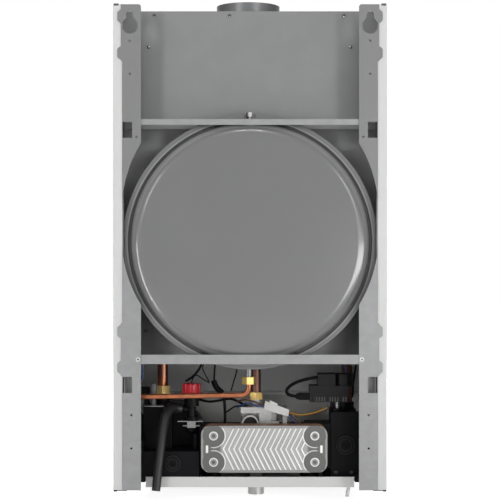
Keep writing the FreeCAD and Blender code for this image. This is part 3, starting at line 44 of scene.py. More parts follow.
def spot(x, depth, height):
    return (x / 1000, -depth / 1000, height / 1000 - hookHeight)  # millimetres from rail foot and wall


def newFinish(name):
    finish = bpy.data.materials.new(name)
    finish.use_nodes = True
    tree = finish.node_tree
    return finish, tree, tree.nodes["Principled BSDF"]


def addNode(tree, kind, **values):
    node = tree.nodes.new(kind)
    for key, value in values.items():
        setattr(node, key, value)
    return node


def grain(tree, scale, stretch=(1, 1, 1)):
    coords = addNode(tree, "ShaderNodeTexCoord")
    mapping = addNode(tree, "ShaderNodeMapping")
    mapping.inputs["Scale"].default_value = stretch
    noise = addNode(tree, "ShaderNodeTexNoise")
    noise.inputs["Scale"].default_value = scale
    noise.inputs["Detail"].default_value = 4.0
    tree.links.new(coords.outputs["Object"], mapping.inputs["Vector"])
    tree.links.new(mapping.outputs["Vector"], noise.inputs["Vector"])
    return noise.outputs["Fac"]


def tint(tree, factor, low, high):
    ramp = addNode(tree, "ShaderNodeValToRGB")
    ramp.color_ramp.elements[0].position = 0.35
    ramp.color_ramp.elements[1].position = 0.65
    ramp.color_ramp.elements[0].color = (*low, 1)
    ramp.color_ramp.elements[1].color = (*high, 1)
    tree.links.new(factor, ramp.inputs["Fac"])
    return ramp.outputs["Color"]


def scaled(colour, factor):
    return tuple(min(1.0, c * factor) for c in colour)


def place(tree):
    coords = addNode(tree, "ShaderNodeTexCoord")
    split = addNode(tree, "ShaderNodeSeparateXYZ")
    tree.links.new(coords.outputs["Object"], split.inputs[0])
    return split.outputs


def between(tree, value, edge):
    step = addNode(tree, "ShaderNodeMapRange")  # 0 at the edge's first number, 1 at its second
    step.inputs["From Min"].default_value, step.inputs["From Max"].default_value = edge
    tree.links.new(value, step.inputs["Value"])
    return step.outputs["Result"]


def mathNode(tree, operation, first, second):
    node = addNode(tree, "ShaderNodeMath", operation=operation)
    for socket, value in zip(node.inputs, (first, second)):
        if isinstance(value, (int, float)):
            socket.default_value = value
        else:
            tree.links.new(value, socket)
    return node.outputs[0]


def both(tree, first, second):
    return mathNode(tree, "MULTIPLY", first, second)


def either(tree, first, second):
    return mathNode(tree, "MAXIMUM", first, second)


def outside(tree, value):
    return mathNode(tree, "SUBTRACT", 1.0, value)


def fromLine(tree, value, line=0.0):
    return mathNode(tree, "ABSOLUTE", mathNode(tree, "SUBTRACT", value, line), 0.0)  # to either side


def roundSpot(tree, centre, edge):
    x, height = centre  # millimetres, as the edge is
    coords = addNode(tree, "ShaderNodeTexCoord")
    flat = addNode(tree, "ShaderNodeVectorMath", operation="MULTIPLY")
    flat.inputs[1].default_value = (1, 0, 1)
    reach = addNode(tree, "ShaderNodeVectorMath", operation="DISTANCE")
    reach.inputs[1].default_value = spot(x, 0, height)
    tree.links.new(coords.outputs["Object"], flat.inputs[0])
    tree.links.new(flat.outputs["Vector"], reach.inputs[0])
    return between(tree, reach.outputs["Value"], [radius / 1000 for radius in edge])


def ring(tree, centre, outer, inner):
    return both(tree, roundSpot(tree, centre, outer), roundSpot(tree, centre, inner))


def blendColour(tree, factor, first, second):
    mix = addNode(tree, "ShaderNodeMix", data_type="RGBA")
    sockets = [s for s in mix.inputs if s.type == "RGBA"]
    for socket, value in zip(sockets, (first, second)):
        if isinstance(value, tuple):
            socket.default_value = (*value, 1)
        else:
            tree.links.new(value, socket)
    tree.links.new(factor, mix.inputs["Factor"])
    return [s for s in mix.outputs if s.type == "RGBA"][0]


def baseColour(tree):
    shader = tree.nodes["Principled BSDF"]
    links = shader.inputs["Base Color"].links
    return links[0].from_socket if links else tuple(shader.inputs["Base Color"].default_value)[:3]


def paintOver(finish, factor, colour):
    tree = finish.node_tree
    shader = tree.nodes["Principled BSDF"]
    tree.links.new(blendColour(tree, factor, baseColour(tree), colour), shader.inputs["Base Color"])


def paintAlong(finish, axis, edge, colour):
    tree = finish.node_tree
    paintOver(finish, between(tree, place(tree)[axis], edge), colour)


def makeFinish(name, colour, metallic=0.0, roughness=0.5, vary=0.0, scale=40, stretch=(1, 1, 1),
               bump=0.0, bumpScale=300, coat=0.0, specular=0.5):
    finish, tree, shader = newFinish(name)
    shader.inputs["Base Color"].default_value = (*colour, 1)
    shader.inputs["Metallic"].default_value = metallic
    shader.inputs["Roughness"].default_value = roughness
    shader.inputs["Specular IOR Level"].default_value = specular
    shader.inputs["Coat Weight"].default_value = coat
    shader.inputs["Coat Roughness"].default_value = 0.08
    if vary:
        factor = grain(tree, scale, stretch)
        tree.links.new(tint(tree, factor, scaled(colour, 1 - vary), scaled(colour, 1 + vary)),
                       shader.inputs["Base Color"])
    if bump:
        bumpNode = addNode(tree, "ShaderNodeBump")
        bumpNode.inputs["Strength"].default_value = bump
        bumpNode.inputs["Distance"].default_value = 0.0005
        tree.links.new(grain(tree, bumpScale), bumpNode.inputs["Height"])
        tree.links.new(bumpNode.outputs["Normal"], shader.inputs["Normal"])
    return finish


# one row per finish, colours are linear
finishes = {
    "whiteStove": dict(colour=(0.66, 0.66, 0.655), roughness=0.38, bump=0.05, bumpScale=900,
                       specular=0.35),
    "zincSheet": dict(colour=(0.28, 0.282, 0.285), metallic=0.2, roughness=0.46, vary=0.05, scale=70,
                      specular=0.3),
    "crossSheet": dict(colour=(0.29, 0.292, 0.295), metallic=0.2, roughness=0.46, vary=0.05, scale=70,
                       specular=0.3),
    "chamberSheet": dict(colour=(0.226, 0.228, 0.23), metallic=0.15, roughness=0.5, vary=0.03, scale=25,
                         specular=0.3),
    "flueSatin": dict(colour=(0.155, 0.157, 0.16), metallic=0.75, roughness=0.36, vary=0.05, scale=20,
                      stretch=(1, 1, 0.05)),
    "vesselGloss": dict(colour=(0.163, 0.164, 0.166), roughness=0.25, coat=0.25, vary=0.015, scale=9),
    "blackRubber": dict(colour=(0.012, 0.012, 0.013), roughness=0.55, specular=0.2, bump=0.05,
                        bumpScale=500),
    "hoseRubber": dict(colour=(0.011, 0.011, 0.012), roughness=0.48, bump=0.05, bumpScale=500,
                       specular=0.3),
    "brassTurned": dict(colour=(0.5, 0.34, 0.1), metallic=0.45, roughness=0.34, vary=0.12, scale=60),
    "valveStem": dict(colour=(0.22, 0.22, 0.21), metallic=0.7, roughness=0.35, vary=0.05, scale=60),
    "copperDrawn": dict(colour=(0.42, 0.14, 0.06), metallic=0.75, roughness=0.28, vary=0.22, scale=60),
    # copper painted darker as shade for the pipes that sit in shade
    "shadedCopper": dict(colour=(0.11, 0.05, 0.035), metallic=0.6, roughness=0.45, vary=0.25, scale=40),
    "stubPlated": dict(colour=(0.34, 0.34, 0.335), metallic=0.85, roughness=0.3, vary=0.05, scale=45),
    "stainless": dict(colour=(0.50, 0.50, 0.49), metallic=0.85, roughness=0.3, vary=0.05, scale=45),
    "plateStainless": dict(colour=(0.31, 0.31, 0.305), metallic=0.75, roughness=0.3, vary=0.06, scale=60),
    "packBrazed": dict(colour=(0.30, 0.15, 0.09), metallic=0.8, roughness=0.35, vary=0.15, scale=120,
                       stretch=(0.2, 3, 0.2)),
    "blackMoulding": dict(colour=(0.004, 0.004, 0.005), roughness=0.45, bump=0.08, bumpScale=700,
                          specular=0.08),
    "motorSatin": dict(colour=(0.03, 0.03, 0.032), roughness=0.4, specular=0.3, vary=0.06, scale=30,
                       bump=0.05, bumpScale=800),
    "greyMoulding": dict(colour=(0.008, 0.008, 0.009), roughness=0.4, bump=0.06, bumpScale=600,
                         specular=0.13),
    "ventMoulding": dict(colour=(0.16, 0.16, 0.16), roughness=0.45, specular=0.3, vary=0.04, scale=60,
                         bump=0.05, bumpScale=700),
    "redMoulding": dict(colour=(0.46, 0.016, 0.026), roughness=0.33, specular=0.3, vary=0.05, scale=80,
                        bump=0.05, bumpScale=700),
    "whiteMoulding": dict(colour=(0.72, 0.72, 0.70), roughness=0.42, vary=0.005, scale=50, bump=0.04,
                          bumpScale=800),
    "knobMoulding": dict(colour=(0.18, 0.185, 0.19), roughness=0.45, vary=0.03, scale=60, bump=0.06,
                         bumpScale=900),
    "castAluminium": dict(colour=(0.42, 0.42, 0.41), metallic=0.6, roughness=0.4, vary=0.10, scale=70,
                          bump=0.3, bumpScale=450),
    "whiteCeramic": dict(colour=(0.70, 0.67, 0.60), roughness=0.7, vary=0.05, scale=30),
    "darkWindow": dict(colour=(0.008, 0.010, 0.012), roughness=0.08, coat=0.5, vary=0.10, scale=25),
    "screwSteel": dict(colour=(0.055, 0.055, 0.055), metallic=0.6, roughness=0.25, vary=0.08, scale=300),
    "springSteel": dict(colour=(0.17, 0.17, 0.165), metallic=0.85, roughness=0.28, vary=0.1, scale=200),
    "blackCable": dict(colour=(0.003, 0.003, 0.003), roughness=0.5, bump=0.05, bumpScale=800,
                       specular=0.07),
    # the chamber sheet painted darker: painted shade on the bar lip
    "shadedLipSheet": dict(colour=(0.195, 0.197, 0.2), roughness=0.6, vary=0.03, scale=25, specular=0.2),
    # the galvanised sheet painted darker: painted shade on the foot strips and corner tabs
    "shadedTabSheet": dict(colour=(0.10, 0.10, 0.102), metallic=0.3, roughness=0.45, vary=0.06, scale=70,
                     specular=0.3),
    "amberWire": dict(colour=(0.36, 0.18, 0.008), roughness=0.4, vary=0.05, scale=200),
    "brownWire": dict(colour=(0.10, 0.035, 0.015), roughness=0.4, vary=0.06, scale=200),
    "blueWire": dict(colour=(0.02, 0.06, 0.20), roughness=0.4, vary=0.06, scale=200),
}
made = {name: makeFinish(name, **values) for name, values in finishes.items()}

wears = {
    "whiteStove": ["right_side_panel", "left_side_panel", "front_cover", "bottom_bar"],
    "zincSheet": ["right_rail", "left_rail"],
    "crossSheet": ["upper_crossbar", "lower_crossbar"],
    "screwSteel": ["frame_screws"],
    "springSteel": ["spring_clips", "diverter_spindle"],
    "chamberSheet": ["chamber_back", "chamber_sides", "chamber_top", "chamber_bottom", "chamber_cover"],
    "flueSatin": ["flue_collar", "fan_housing", "fan_inlet_plate"],
    "vesselGloss": ["vessel_rear_shell", "vessel_front_shell"],
    "blackRubber": ["vessel_diaphragm"],
    "brassTurned": ["brass_nuts", "gas_manifold"],
    "valveStem": ["charge_valve"],
    "copperDrawn": ["vessel_tube", "heating_return_pipe", "primary_exchanger"],
    "shadedCopper": ["heating_flow_pipe", "gas_pipe"],
    "plateStainless": ["plate_cover"],
    "packBrazed": ["plate_pack"],
    "stainless": ["flue_hood", "combustion_box", "burner", "fan_impeller"],
    "stubPlated": ["gas_stub"],
    "blackMoulding": ["return_group", "flow_group", "safety_valve_body", "black_leads", "control_box"],
    "motorSatin": ["pump_motor", "fan_motor"],
    "greyMoulding": ["diverter_actuator"],
    "ventMoulding": ["air_vent"],
    "redMoulding": ["safety_valve_knob", "reset_button"],
    "whiteMoulding": ["charge_valve_cap", "valve_connector", "control_fascia"],
    "knobMoulding": ["heating_knob", "hot_water_knob"],
    "castAluminium": ["gas_valve"],
    "whiteCeramic": ["electrodes", "insulation_boards"],
    "darkWindow": ["display_window"],
}
for finishName, wearers in wears.items():
    for wearer in wearers:
        for slot in nodes[wearer].material_slots:
            slot.material = made[finishName]
print("finishes on:", sum(len(w) for w in wears.values()), "nodes")

# colours painted by place on one piece, most of them painted light and shade: edges along an axis are in
# metres of the frame, centres and radii of round spots in millimetres from the rail foot
# painted shade: the upper part of the rails darker, and the flange's inner face dark where it lies in shade
railShade = {
    "upperShadeHeight": (-0.40, -0.22), "upperShadeColour": (0.205, 0.206, 0.208),
    "flangeAcross": (0.1893, 0.1897), "flangeDepth": (-0.0018, -0.0026), "flangeShadeColour": (0.05, 0.05, 0.052),
}
zinc = made["zincSheet"]
zincTree = zinc.node_tree
zincPlace = place(zincTree)
flangeSide = between(zincTree, fromLine(zincTree, zincPlace["X"]), railShade["flangeAcross"])
flangeDeep = between(zincTree, zincPlace["Y"], railShade["flangeDepth"])
paintAlong(zinc, "Z", railShade["upperShadeHeight"], railShade["upperShadeColour"])
paintOver(zinc, both(zincTree, flangeSide, flangeDeep), railShade["flangeShadeColour"])

# painted highlights on the ridge tops, boss lips and pressed bars, painted shade in the port hollows; the rim
# painted darker again, the plate ends and ears darker than the middle
plateShade = {
    "ports": [(-98.6, 37.2), (-98.6, 77.2), (55.4, 37.2), (55.4, 77.2)],
    "middle": -0.0216, "axis": -0.6388,
    "ridgeDepth": (-0.0338, -0.0324), "ridgeHighlightColour": (0.78, 0.78, 0.76),
    "rimAcross": (0.0922, 0.0930), "rimUp": (0.0318, 0.0326), "rimColour": (0.24, 0.24, 0.235),
    "endAcross": (0.064, 0.068), "endColour": (0.12, 0.12, 0.118),
    "earAcross": (0.079, 0.082), "earColour": (0.115, 0.115, 0.113),
    "hollowEdge": (17.6, 16.4), "hollowShadeColour": (0.105, 0.105, 0.103),
    "bossOuter": (6.9, 6.6), "bossInner": (2.6, 2.8), "bossColour": (0.24, 0.24, 0.235),
    "bossLip": (4.9, 5.6), "bossLipHighlightColour": (0.62, 0.62, 0.60),
    "barEnds": (-0.1086, 0.0654), "barAcross": (0.0022, 0.0014), "barUp": (0.0062, 0.0052),
    "barHighlightColour": (0.66, 0.66, 0.64),
}
plate = made["plateStainless"]
plateTree = plate.node_tree
platePlace = place(plateTree)
fromMiddle = fromLine(plateTree, platePlace["X"], plateShade["middle"])
fromAxis = fromLine(plateTree, platePlace["Z"], plateShade["axis"])
ridge = between(plateTree, platePlace["Y"], plateShade["ridgeDepth"])
rimBand = either(plateTree, between(plateTree, fromMiddle, plateShade["rimAcross"]),
                 between(plateTree, fromAxis, plateShade["rimUp"]))
endField = both(plateTree, between(plateTree, fromMiddle, plateShade["endAcross"]),
                outside(plateTree, either(plateTree, ridge, rimBand)))
outerEar = both(plateTree, between(plateTree, fromMiddle, plateShade["earAcross"]),
                outside(plateTree, rimBand))
nearPort = 0.0
for port in plateShade["ports"]:
    nearPort = either(plateTree, nearPort, roundSpot(plateTree, port, plateShade["hollowEdge"]))
hollow = both(plateTree, nearPort, outside(plateTree, ridge))
paintOver(plate, ridge, plateShade["ridgeHighlightColour"])
paintOver(plate, rimBand, plateShade["rimColour"])
paintOver(plate, endField, plateShade["endColour"])
paintOver(plate, outerEar, plateShade["earColour"])
paintOver(plate, hollow, plateShade["hollowShadeColour"])
for port in plateShade["ports"]:
    boss = ring(plateTree, port, plateShade["bossOuter"], plateShade["bossInner"])
    bossLip = ring(plateTree, port, plateShade["bossOuter"], plateShade["bossLip"])
    paintOver(plate, boss, plateShade["bossColour"])
    paintOver(plate, bossLip, plateShade["bossLipHighlightColour"])
for endX in plateShade["barEnds"]:  # painted highlight on a short pressed bar between the ears
    barSide = between(plateTree, fromLine(plateTree, platePlace["X"], endX), plateShade["barAcross"])
    pressed = both(plateTree, barSide, between(plateTree, fromAxis, plateShade["barUp"]))
    paintOver(plate, pressed, plateShade["barHighlightColour"])

skirtShade = {
    "depth": (-0.0668, -0.0660), "height": (-0.5615, -0.5625), "colour": (0.085, 0.085, 0.085),
    "lugs": (-0.0967, -0.1186, -0.1401), "lugSide": (0.0024, 0.0030),
}
skirt = made["greyMoulding"]
skirtTree = skirt.node_tree
skirtPlace = place(skirtTree)
skirtFace = both(skirtTree, between(skirtTree, skirtPlace["Y"], skirtShade["depth"]),
                 between(skirtTree, skirtPlace["Z"], skirtShade["height"]))
for lugX in skirtShade["lugs"]:
    besideLug = between(skirtTree, fromLine(skirtTree, skirtPlace["X"], lugX), skirtShade["lugSide"])
    skirtFace = both(skirtTree, skirtFace, besideLug)
paintOver(skirt, skirtFace, skirtShade["colour"])

# painted highlight rings on the two rivets, painted glints on the chamber screws, painted shade on the low
# screws
screwShade = {
    "rivets": [(167.7, 196.0), (-167.7, 196.0)],
    "rivetOuter": (3.6, 3.4), "rivetInner": (1.3, 1.6), "rivetHighlightColour": (0.55, 0.55, 0.55),
    "glints": [(146.7, 717.9), (31.3, 717.9), (-143.8, 717.9), (154.7, 671.6), (-153.2, 671.6)],
    "glintEdge": (1.35, 0.9), "glintColour": (0.8, 0.8, 0.8),
    "lowShadeHeight": (-0.655, -0.665), "lowShadeColour": (0.025, 0.025, 0.025),
}
screws = made["screwSteel"]
for rivet in screwShade["rivets"]:
    rivetHighlight = ring(screws.node_tree, rivet, screwShade["rivetOuter"], screwShade["rivetInner"])
    paintOver(screws, rivetHighlight, screwShade["rivetHighlightColour"])
for glint in screwShade["glints"]:
    glintSpot = roundSpot(screws.node_tree, glint, screwShade["glintEdge"])
    paintOver(screws, glintSpot, screwShade["glintColour"])
paintAlong(screws, "Z", screwShade["lowShadeHeight"], screwShade["lowShadeColour"])

# painted light and shade rings on the vessel
vesselShade = {
    "centre": (0, 372),
    "bands": [
        dict(outer=(180.5, 178.5), inner=(171.5, 174.5), colour=(0.30, 0.30, 0.303)),  # painted highlight on the shoulder
        dict(outer=(187.4, 187.0), inner=(185.4, 185.9), colour=(0.27, 0.27, 0.273)),  # painted highlight line on the crimp
        dict(outer=(185.2, 184.4), inner=(179.6, 181.4), colour=(0.05, 0.05, 0.051)),  # painted shade in the groove
    ],
}
vessel = made["vesselGloss"]
for band in vesselShade["bands"]:
    paintedBand = ring(vessel.node_tree, vesselShade["centre"], band["outer"], band["inner"])
    paintOver(vessel, paintedBand, band["colour"])

# painted shade on both sides of the flue collar
collarShade = {"middle": 0.0029, "across": (0.026, 0.050), "colour": (0.03, 0.03, 0.031)}
collar = made["flueSatin"]
collarSide = fromLine(collar.node_tree, place(collar.node_tree)["X"], collarShade["middle"])
paintOver(collar, between(collar.node_tree, collarSide, collarShade["across"]), collarShade["colour"])

capHighlight = {
    "caps": [(-147, 60, 14.4), (-147, 60, 10), (118, 34, 12.4), (118, 34, 8)],  # across, up, radius
    "outer": (0.3, 0.0), "inner": (-1.5, -0.9), "colour": (0.022, 0.022, 0.022),  # edges from the radius
}
black = made["blackMoulding"]
for capX, capHeight, radius in capHighlight["caps"]:  # painted highlight on the edges of the round caps
    outer = [radius + step for step in capHighlight["outer"]]
    inner = [radius + step for step in capHighlight["inner"]]
    paintOver(black, ring(black.node_tree, (capX, capHeight), outer, inner), capHighlight["colour"])

# painted shadow in the low corners of the chamber back, and painted shade for two small holes
chamberShade = {
    "cornerAcross": (0.112, 0.150), "cornerHeight": (-0.36, -0.42), "cornerShadowColour": (0.085, 0.085, 0.087),
    "holes": [(162.3, 234.7), (-160.1, 234.7)], "holeEdge": (1.9, 1.4), "holeShadeColour": (0.01, 0.01, 0.01),
}
sheet = made["chamberSheet"]
sheetTree = sheet.node_tree
sheetPlace = place(sheetTree)
sheetSide = fromLine(sheetTree, sheetPlace["X"])
lowCornerShadow = both(sheetTree, between(sheetTree, sheetSide, chamberShade["cornerAcross"]),
                 between(sheetTree, sheetPlace["Z"], chamberShade["cornerHeight"]))
paintOver(sheet, lowCornerShadow, chamberShade["cornerShadowColour"])
for hole in chamberShade["holes"]:
    paintOver(sheet, roundSpot(sheetTree, hole, chamberShade["holeEdge"]), chamberShade["holeShadeColour"])

# painted shade inside the gas valve port
portShade = {
    "centre": (-0.5, 89.6), "edge": (10.9, 10.5), "depth": (-0.088, -0.0895), "colour": (0.02, 0.02, 0.02),
}
valve = made["castAluminium"]
valveTree = valve.node_tree
portShadow = both(valveTree, roundSpot(valveTree, portShade["centre"], portShade["edge"]),
                  between(valveTree, place(valveTree)["Y"], portShade["depth"]))
paintOver(valve, portShadow, portShade["colour"])

pipeShade = {"height": (-0.570, -0.530), "colour": (0.13, 0.05, 0.03)}  # painted shade on the pipe tops towards the chamber floor
paintAlong(made["copperDrawn"], "Z", pipeShade["height"], pipeShade["colour"])
nutHighlight = {"across": (0.07, 0.09), "colour": (0.95, 0.7, 0.27)}  # painted light on the nut of the return pipe
paintAlong(made["brassTurned"], "X", nutHighlight["across"], nutHighlight["colour"])
knobShade = {"depth": (-0.2996, -0.2999), "colour": (0.75, 0.75, 0.74)}  # pointer rib
paintAlong(made["knobMoulding"], "Y", knobShade["depth"], knobShade["colour"])
print("place shades done")


def splineTube(name, points, radius, finish, swell=()):
    curve = bpy.data.curves.new(name, "CURVE")
    curve.dimensions = "3D"
    curve.resolution_u = 12
    curve.bevel_depth = radius
    curve.bevel_resolution = 6
    curve.use_fill_caps = True
    spline = curve.splines.new("NURBS")
    spline.points.add(len(points) - 1)
    for target, (x, y, z) in zip(spline.points, points):
        target.co = (x, y, z, 1)
    for target, factor in zip(spline.points, swell):
        target.radius = factor
    spline.order_u = 3
    spline.use_endpoint_u = True
    curve.materials.append(finish)
    tube = bpy.data.objects.new(name, curve)
    bpy.context.scene.collection.objects.link(tube)
    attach(tube, "frame")
    return tube


# routes are in millimetres: across, depth from the wall, height over the rail foot
drainHose = {
    "diameter": 0.0152,
    "length": 0.154,
    "swell": [1.1, 1.16, 1.2, 1.16, 1.08, 1.0, 0.94, 0.9, 0.88],  # stretched over the fitting at its top
    "route": [(106.6, 79.8, 113.4), (114.3, 78, 115), (123.8, 68.5, 115.3), (130.3, 58, 106),
              (133.1, 48, 90), (135, 38, 69), (137.4, 30, 45), (140.2, 25, 20), (142.3, 22.4, -4.4)],
}
drainRoute = [spot(*p) for p in drainHose["route"]]
drain = splineTube("drainHose", drainRoute, drainHose["diameter"] / 2, made["hoseRubber"],
                   swell=drainHose["swell"])
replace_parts(drain, "drain_hose")

clearHose = {
    "diameter": 0.0058,
    "length": 0.042,
    "colour": (0.86, 0.87, 0.87), "roughness": 0.12, "alpha": 0.46,
    "route": [(-156.7, 110, 13.3), (-157.7, 109, 3), (-156.1, 107.5, -8), (-153.7, 107, -18.5),
              (-152.1, 106.5, -27.5)],
}
clearFinish, _, clearShader = newFinish("clearHose")
clearShader.inputs["Base Color"].default_value = (*clearHose["colour"], 1)
clearShader.inputs["Roughness"].default_value = clearHose["roughness"]
clearShader.inputs["Alpha"].default_value = clearHose["alpha"]
clearRoute = [spot(*p) for p in clearHose["route"]]
clear = splineTube("clearHose", clearRoute, clearHose["diameter"] / 2, clearFinish)
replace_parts(clear, "clear_hose")
print("hoses: drain and clear")

gasLine = -9.5  # gas line across, millimetres
flowSide = -166.0  # outer face of the flow group
chamberFloor = 204.2  # leads leave the sealed chamber here
colourLeads = {
    "amberLead": dict(finish="amberWire", radius=0.0015, route=[
        (gasLine - 51.6, 84, 107.5), (gasLine - 62, 84, 104), (gasLine - 74, 84, 103.2),
        (gasLine - 88, 84, 106), (gasLine - 100, 84, 110), (gasLine - 110, 85, 114.6)]),
    "brownLead": dict(finish="brownWire", radius=0.0013, route=[
        (gasLine - 12.6, 85, 119), (gasLine - 3, 84, 122), (gasLine + 9, 85, 126), (gasLine + 20, 92, 127),
        (gasLine + 30, 104, 122)]),
    "blueLead": dict(finish="blueWire", radius=0.0013, route=[
        (gasLine - 12.4, 81.5, 116.5), (gasLine - 3, 80, 117), (gasLine + 8, 80, 121.5),
        (gasLine + 19, 86, 121), (gasLine + 29, 99, 114)]),
    "brownTail": dict(finish="brownWire", radius=0.0012, route=[
        (gasLine - 48, 85, 109), (gasLine - 52, 84, 106), (gasLine - 59, 84, 100), (gasLine - 69, 87, 91),
        (gasLine - 76, 93, 80), (gasLine - 86, 102, 70)]),
    "blueTail": dict(finish="blueWire", radius=0.0012, route=[
        (gasLine - 46, 85, 107), (gasLine - 49, 84, 104), (gasLine - 55, 84, 98), (gasLine - 64, 87, 90),
        (gasLine - 73, 93, 78), (gasLine - 86, 102, 67)]),
    "rightLead": dict(finish="blueWire", radius=0.0014, route=[
        (flowSide + 27, 100, chamberFloor), (flowSide + 24, 100, 190), (flowSide + 18, 100, 178),
        (flowSide + 14, 101, 168)]),
    "leftLead": dict(finish="blueWire", radius=0.0018, route=[
        (167, 96, chamberFloor), (169, 96, 188), (167, 97, 172), (169, 98, 157)]),
}
blackLeads = {
    "actuatorLead": dict(radius=0.0024, route=[
        (flowSide + 61.4, 75, 163), (flowSide + 78, 74, 160.5), (flowSide + 96, 72, 155),
        (flowSide + 108, 71, 147), (flowSide + 110.5, 71, 139), (flowSide + 103, 72, 134.5),
        (flowSide + 93, 72.5, 133.6)]),
    "pumpLead": dict(radius=0.0019, route=[
        (72, 104, chamberFloor), (74, 104, 186), (80, 104, 172), (90, 105, 160), (101, 108, 154)]),
    "sensorLead": dict(radius=0.0014, route=[
        (55, 108, chamberFloor), (54, 108, 188), (56, 108, 170), (56.5, 109, 150)]),
    "sensorSheath": dict(radius=0.0045, route=[
        (57, 109, 155), (56, 109, 150), (53, 109, 144), (48, 109, 138.5), (43, 109, 135)]),
    "fanLead": dict(radius=0.0011, route=[
        (20, 106, chamberFloor), (22, 106, 190), (20, 107, 172), (25, 109, 155), (30, 112, 138)]),
    "spareLead": dict(radius=0.0009, route=[
        (64, 101, chamberFloor), (66, 100, 190), (76, 99, 177), (70, 98, 165), (64, 99, 154)]),
    "loopLead": dict(radius=0.0009, route=[
        (92, 100, 150), (91, 100, 155), (88.1, 100, 162.6), (82.3, 100, 164.5), (73.6, 100, 157),
        (63.5, 99, 152)]),
    "dropLead": dict(radius=0.0022, route=[
        (45, 109, 136.5), (42, 109, 133), (40.2, 109, 122), (39.3, 109, 104), (39, 108, 86), (43, 106, 70),
        (56, 104, 58), (78, 102, 52)]),
    "crossLead": dict(radius=0.0019, route=[
        (84, 112, 126), (78, 112, 124), (64, 112, 120.5), (48, 112, 123), (30, 112, 127), (14, 112, 119),
        (4, 112, 113)]),
    "tieLead": dict(radius=0.0014, route=[
        (39.5, 110, 104), (34, 111, 107), (24, 112, 114), (15, 112, 114.5), (8, 112, 112.5)]),
    "sideLead": dict(radius=0.0016, route=[
        (flowSide + 4, 100, chamberFloor), (flowSide - 1, 100, 186), (flowSide + 2, 100, 166),
        (flowSide + 5, 101, 146), (flowSide + 5, 102, 129)]),
}


def layLead(name, node, radius, route, finish="blackCable"):
    wire = splineTube(name, [spot(*p) for p in route], radius, made[finish])
    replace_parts(wire, node)


for leadName, values in colourLeads.items():
    layLead(leadName, "colour_leads", **values)
for leadName, values in blackLeads.items():
    layLead(leadName, "black_leads", **values)
print("leads:", len(colourLeads) + len(blackLeads))


def prism(name, corners, axis, start, end, finish, slotName, bevel=0.25):
    order = {"x": lambda a, b, c: spot(c, a, b), "depth": lambda a, b, c: spot(a, c, b),
             "height": lambda a, b, c: spot(a, b, c)}[axis]
    flat, solid = bpy.data.meshes.new(name), bmesh.new()
    face = solid.faces.new([solid.verts.new(order(a, b, start)) for a, b in corners])
    pushed = bmesh.ops.extrude_face_region(solid, geom=[face])["geom"]
    shift = Vector(order(0, 0, end)) - Vector(order(0, 0, start))
    bmesh.ops.translate(solid, vec=shift, verts=[v for v in pushed if isinstance(v, bmesh.types.BMVert)])
    bmesh.ops.recalc_face_normals(solid, faces=solid.faces[:])
    bmesh.ops.bevel(solid, geom=solid.edges[:], offset=bevel / 1000, segments=2, profile=0.5, affect="EDGES")
    solid.to_mesh(flat)
    solid.free()
    flat.materials.append(made[finish])
    piece = bpy.data.objects.new(name, flat)
    bpy.context.scene.collection.objects.link(piece)
    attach(piece, "frame")
    return piece


# corners in millimetres: (x, height) for axis depth, (x, depth) for axis height, (depth, height) for axis x
actuatorPlug = dict(
    corners=[(flowSide + 74.3, 128.4), (flowSide + 74.3, 138.8), (flowSide + 90, 138.8),
             (flowSide + 95, 137), (flowSide + 95, 130.2), (flowSide + 90, 128.4)],
    axis="depth", start=68, end=78, finish="blackCable", slotName="wire_moulding", bevel=0.6)
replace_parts(prism("actuatorPlug", **actuatorPlug), "black_leads")

barLip = dict(  # covers the rim behind the bar, in the chamber sheet painted darker as shade
    corners=[(-62, 556.4), (-48, 560.4), (-34, 563.7), (-20, 565.9), (-9, 566.9), (-9, 558),
             (9, 558), (9, 566.9), (20, 565.9), (34, 563.7), (48, 560.4), (62, 556.4)],
    axis="depth", start=21.8, end=23.3, finish="shadedLipSheet", slotName="chamber_sheet", bevel=0.1)
prism("barLip", **barLip)

returnFoot = dict(
    corners=[(71, 9), (71, 22), (73, 24), (80.6, 24), (80.6, 9)],
    axis="depth", start=97, end=108, finish="blackMoulding", slotName="black_moulding", bevel=0.8)
prism("returnFoot", **returnFoot)

floorLip = dict(  # fold under the chamber floor
    corners=[(-186, 194.5), (-186, 205), (186, 205), (186, 194.5)],
    axis="depth", start=72, end=73, finish="chamberSheet", slotName="chamber_sheet")
prism("floorLip", **floorLip)

sideTrim = {  # left side, mirrored for the right
    "SlotTab": dict(
        corners=[(189.6, 10), (189.6, 27.5), (171, 27.5), (171, 26), (188.1, 26), (188.1, 10)],
        axis="height", start=141, end=175, finish="crossSheet", slotName="galvanised"),
    "FootStrip": dict(
        corners=[(184.6, 0.6), (203.6, 0.6), (203.6, 14), (184.6, 14)],
        axis="height", start=-1.05, end=-0.02, finish="shadedTabSheet", slotName="galvanised", bevel=0.15),
    "FootPad": dict(
        corners=[(199.4, 0.6), (204.4, 0.6), (204.4, 10), (199.4, 10)],
        axis="height", start=-1.9, end=0.2, finish="blackCable", slotName="black_rubber", bevel=0.3),
    "CornerTab": dict(
        corners=[(0.6, 726.2), (1.6, 726.2), (1.6, 728.1), (7, 728.1), (7, 729.4), (0.6, 729.4)],
        axis="x", start=197, end=204.2, finish="shadedTabSheet", slotName="galvanised"),
}
for side, sideName in ((1, "left"), (-1, "right")):
    for trimName, values in sideTrim.items():
        if values["axis"] == "x":
            turned = dict(values, start=side * values["start"], end=side * values["end"])
        else:
            turned = dict(values, corners=[(side * x, depth) for x, depth in values["corners"]])
        prism(sideName + trimName, **turned)

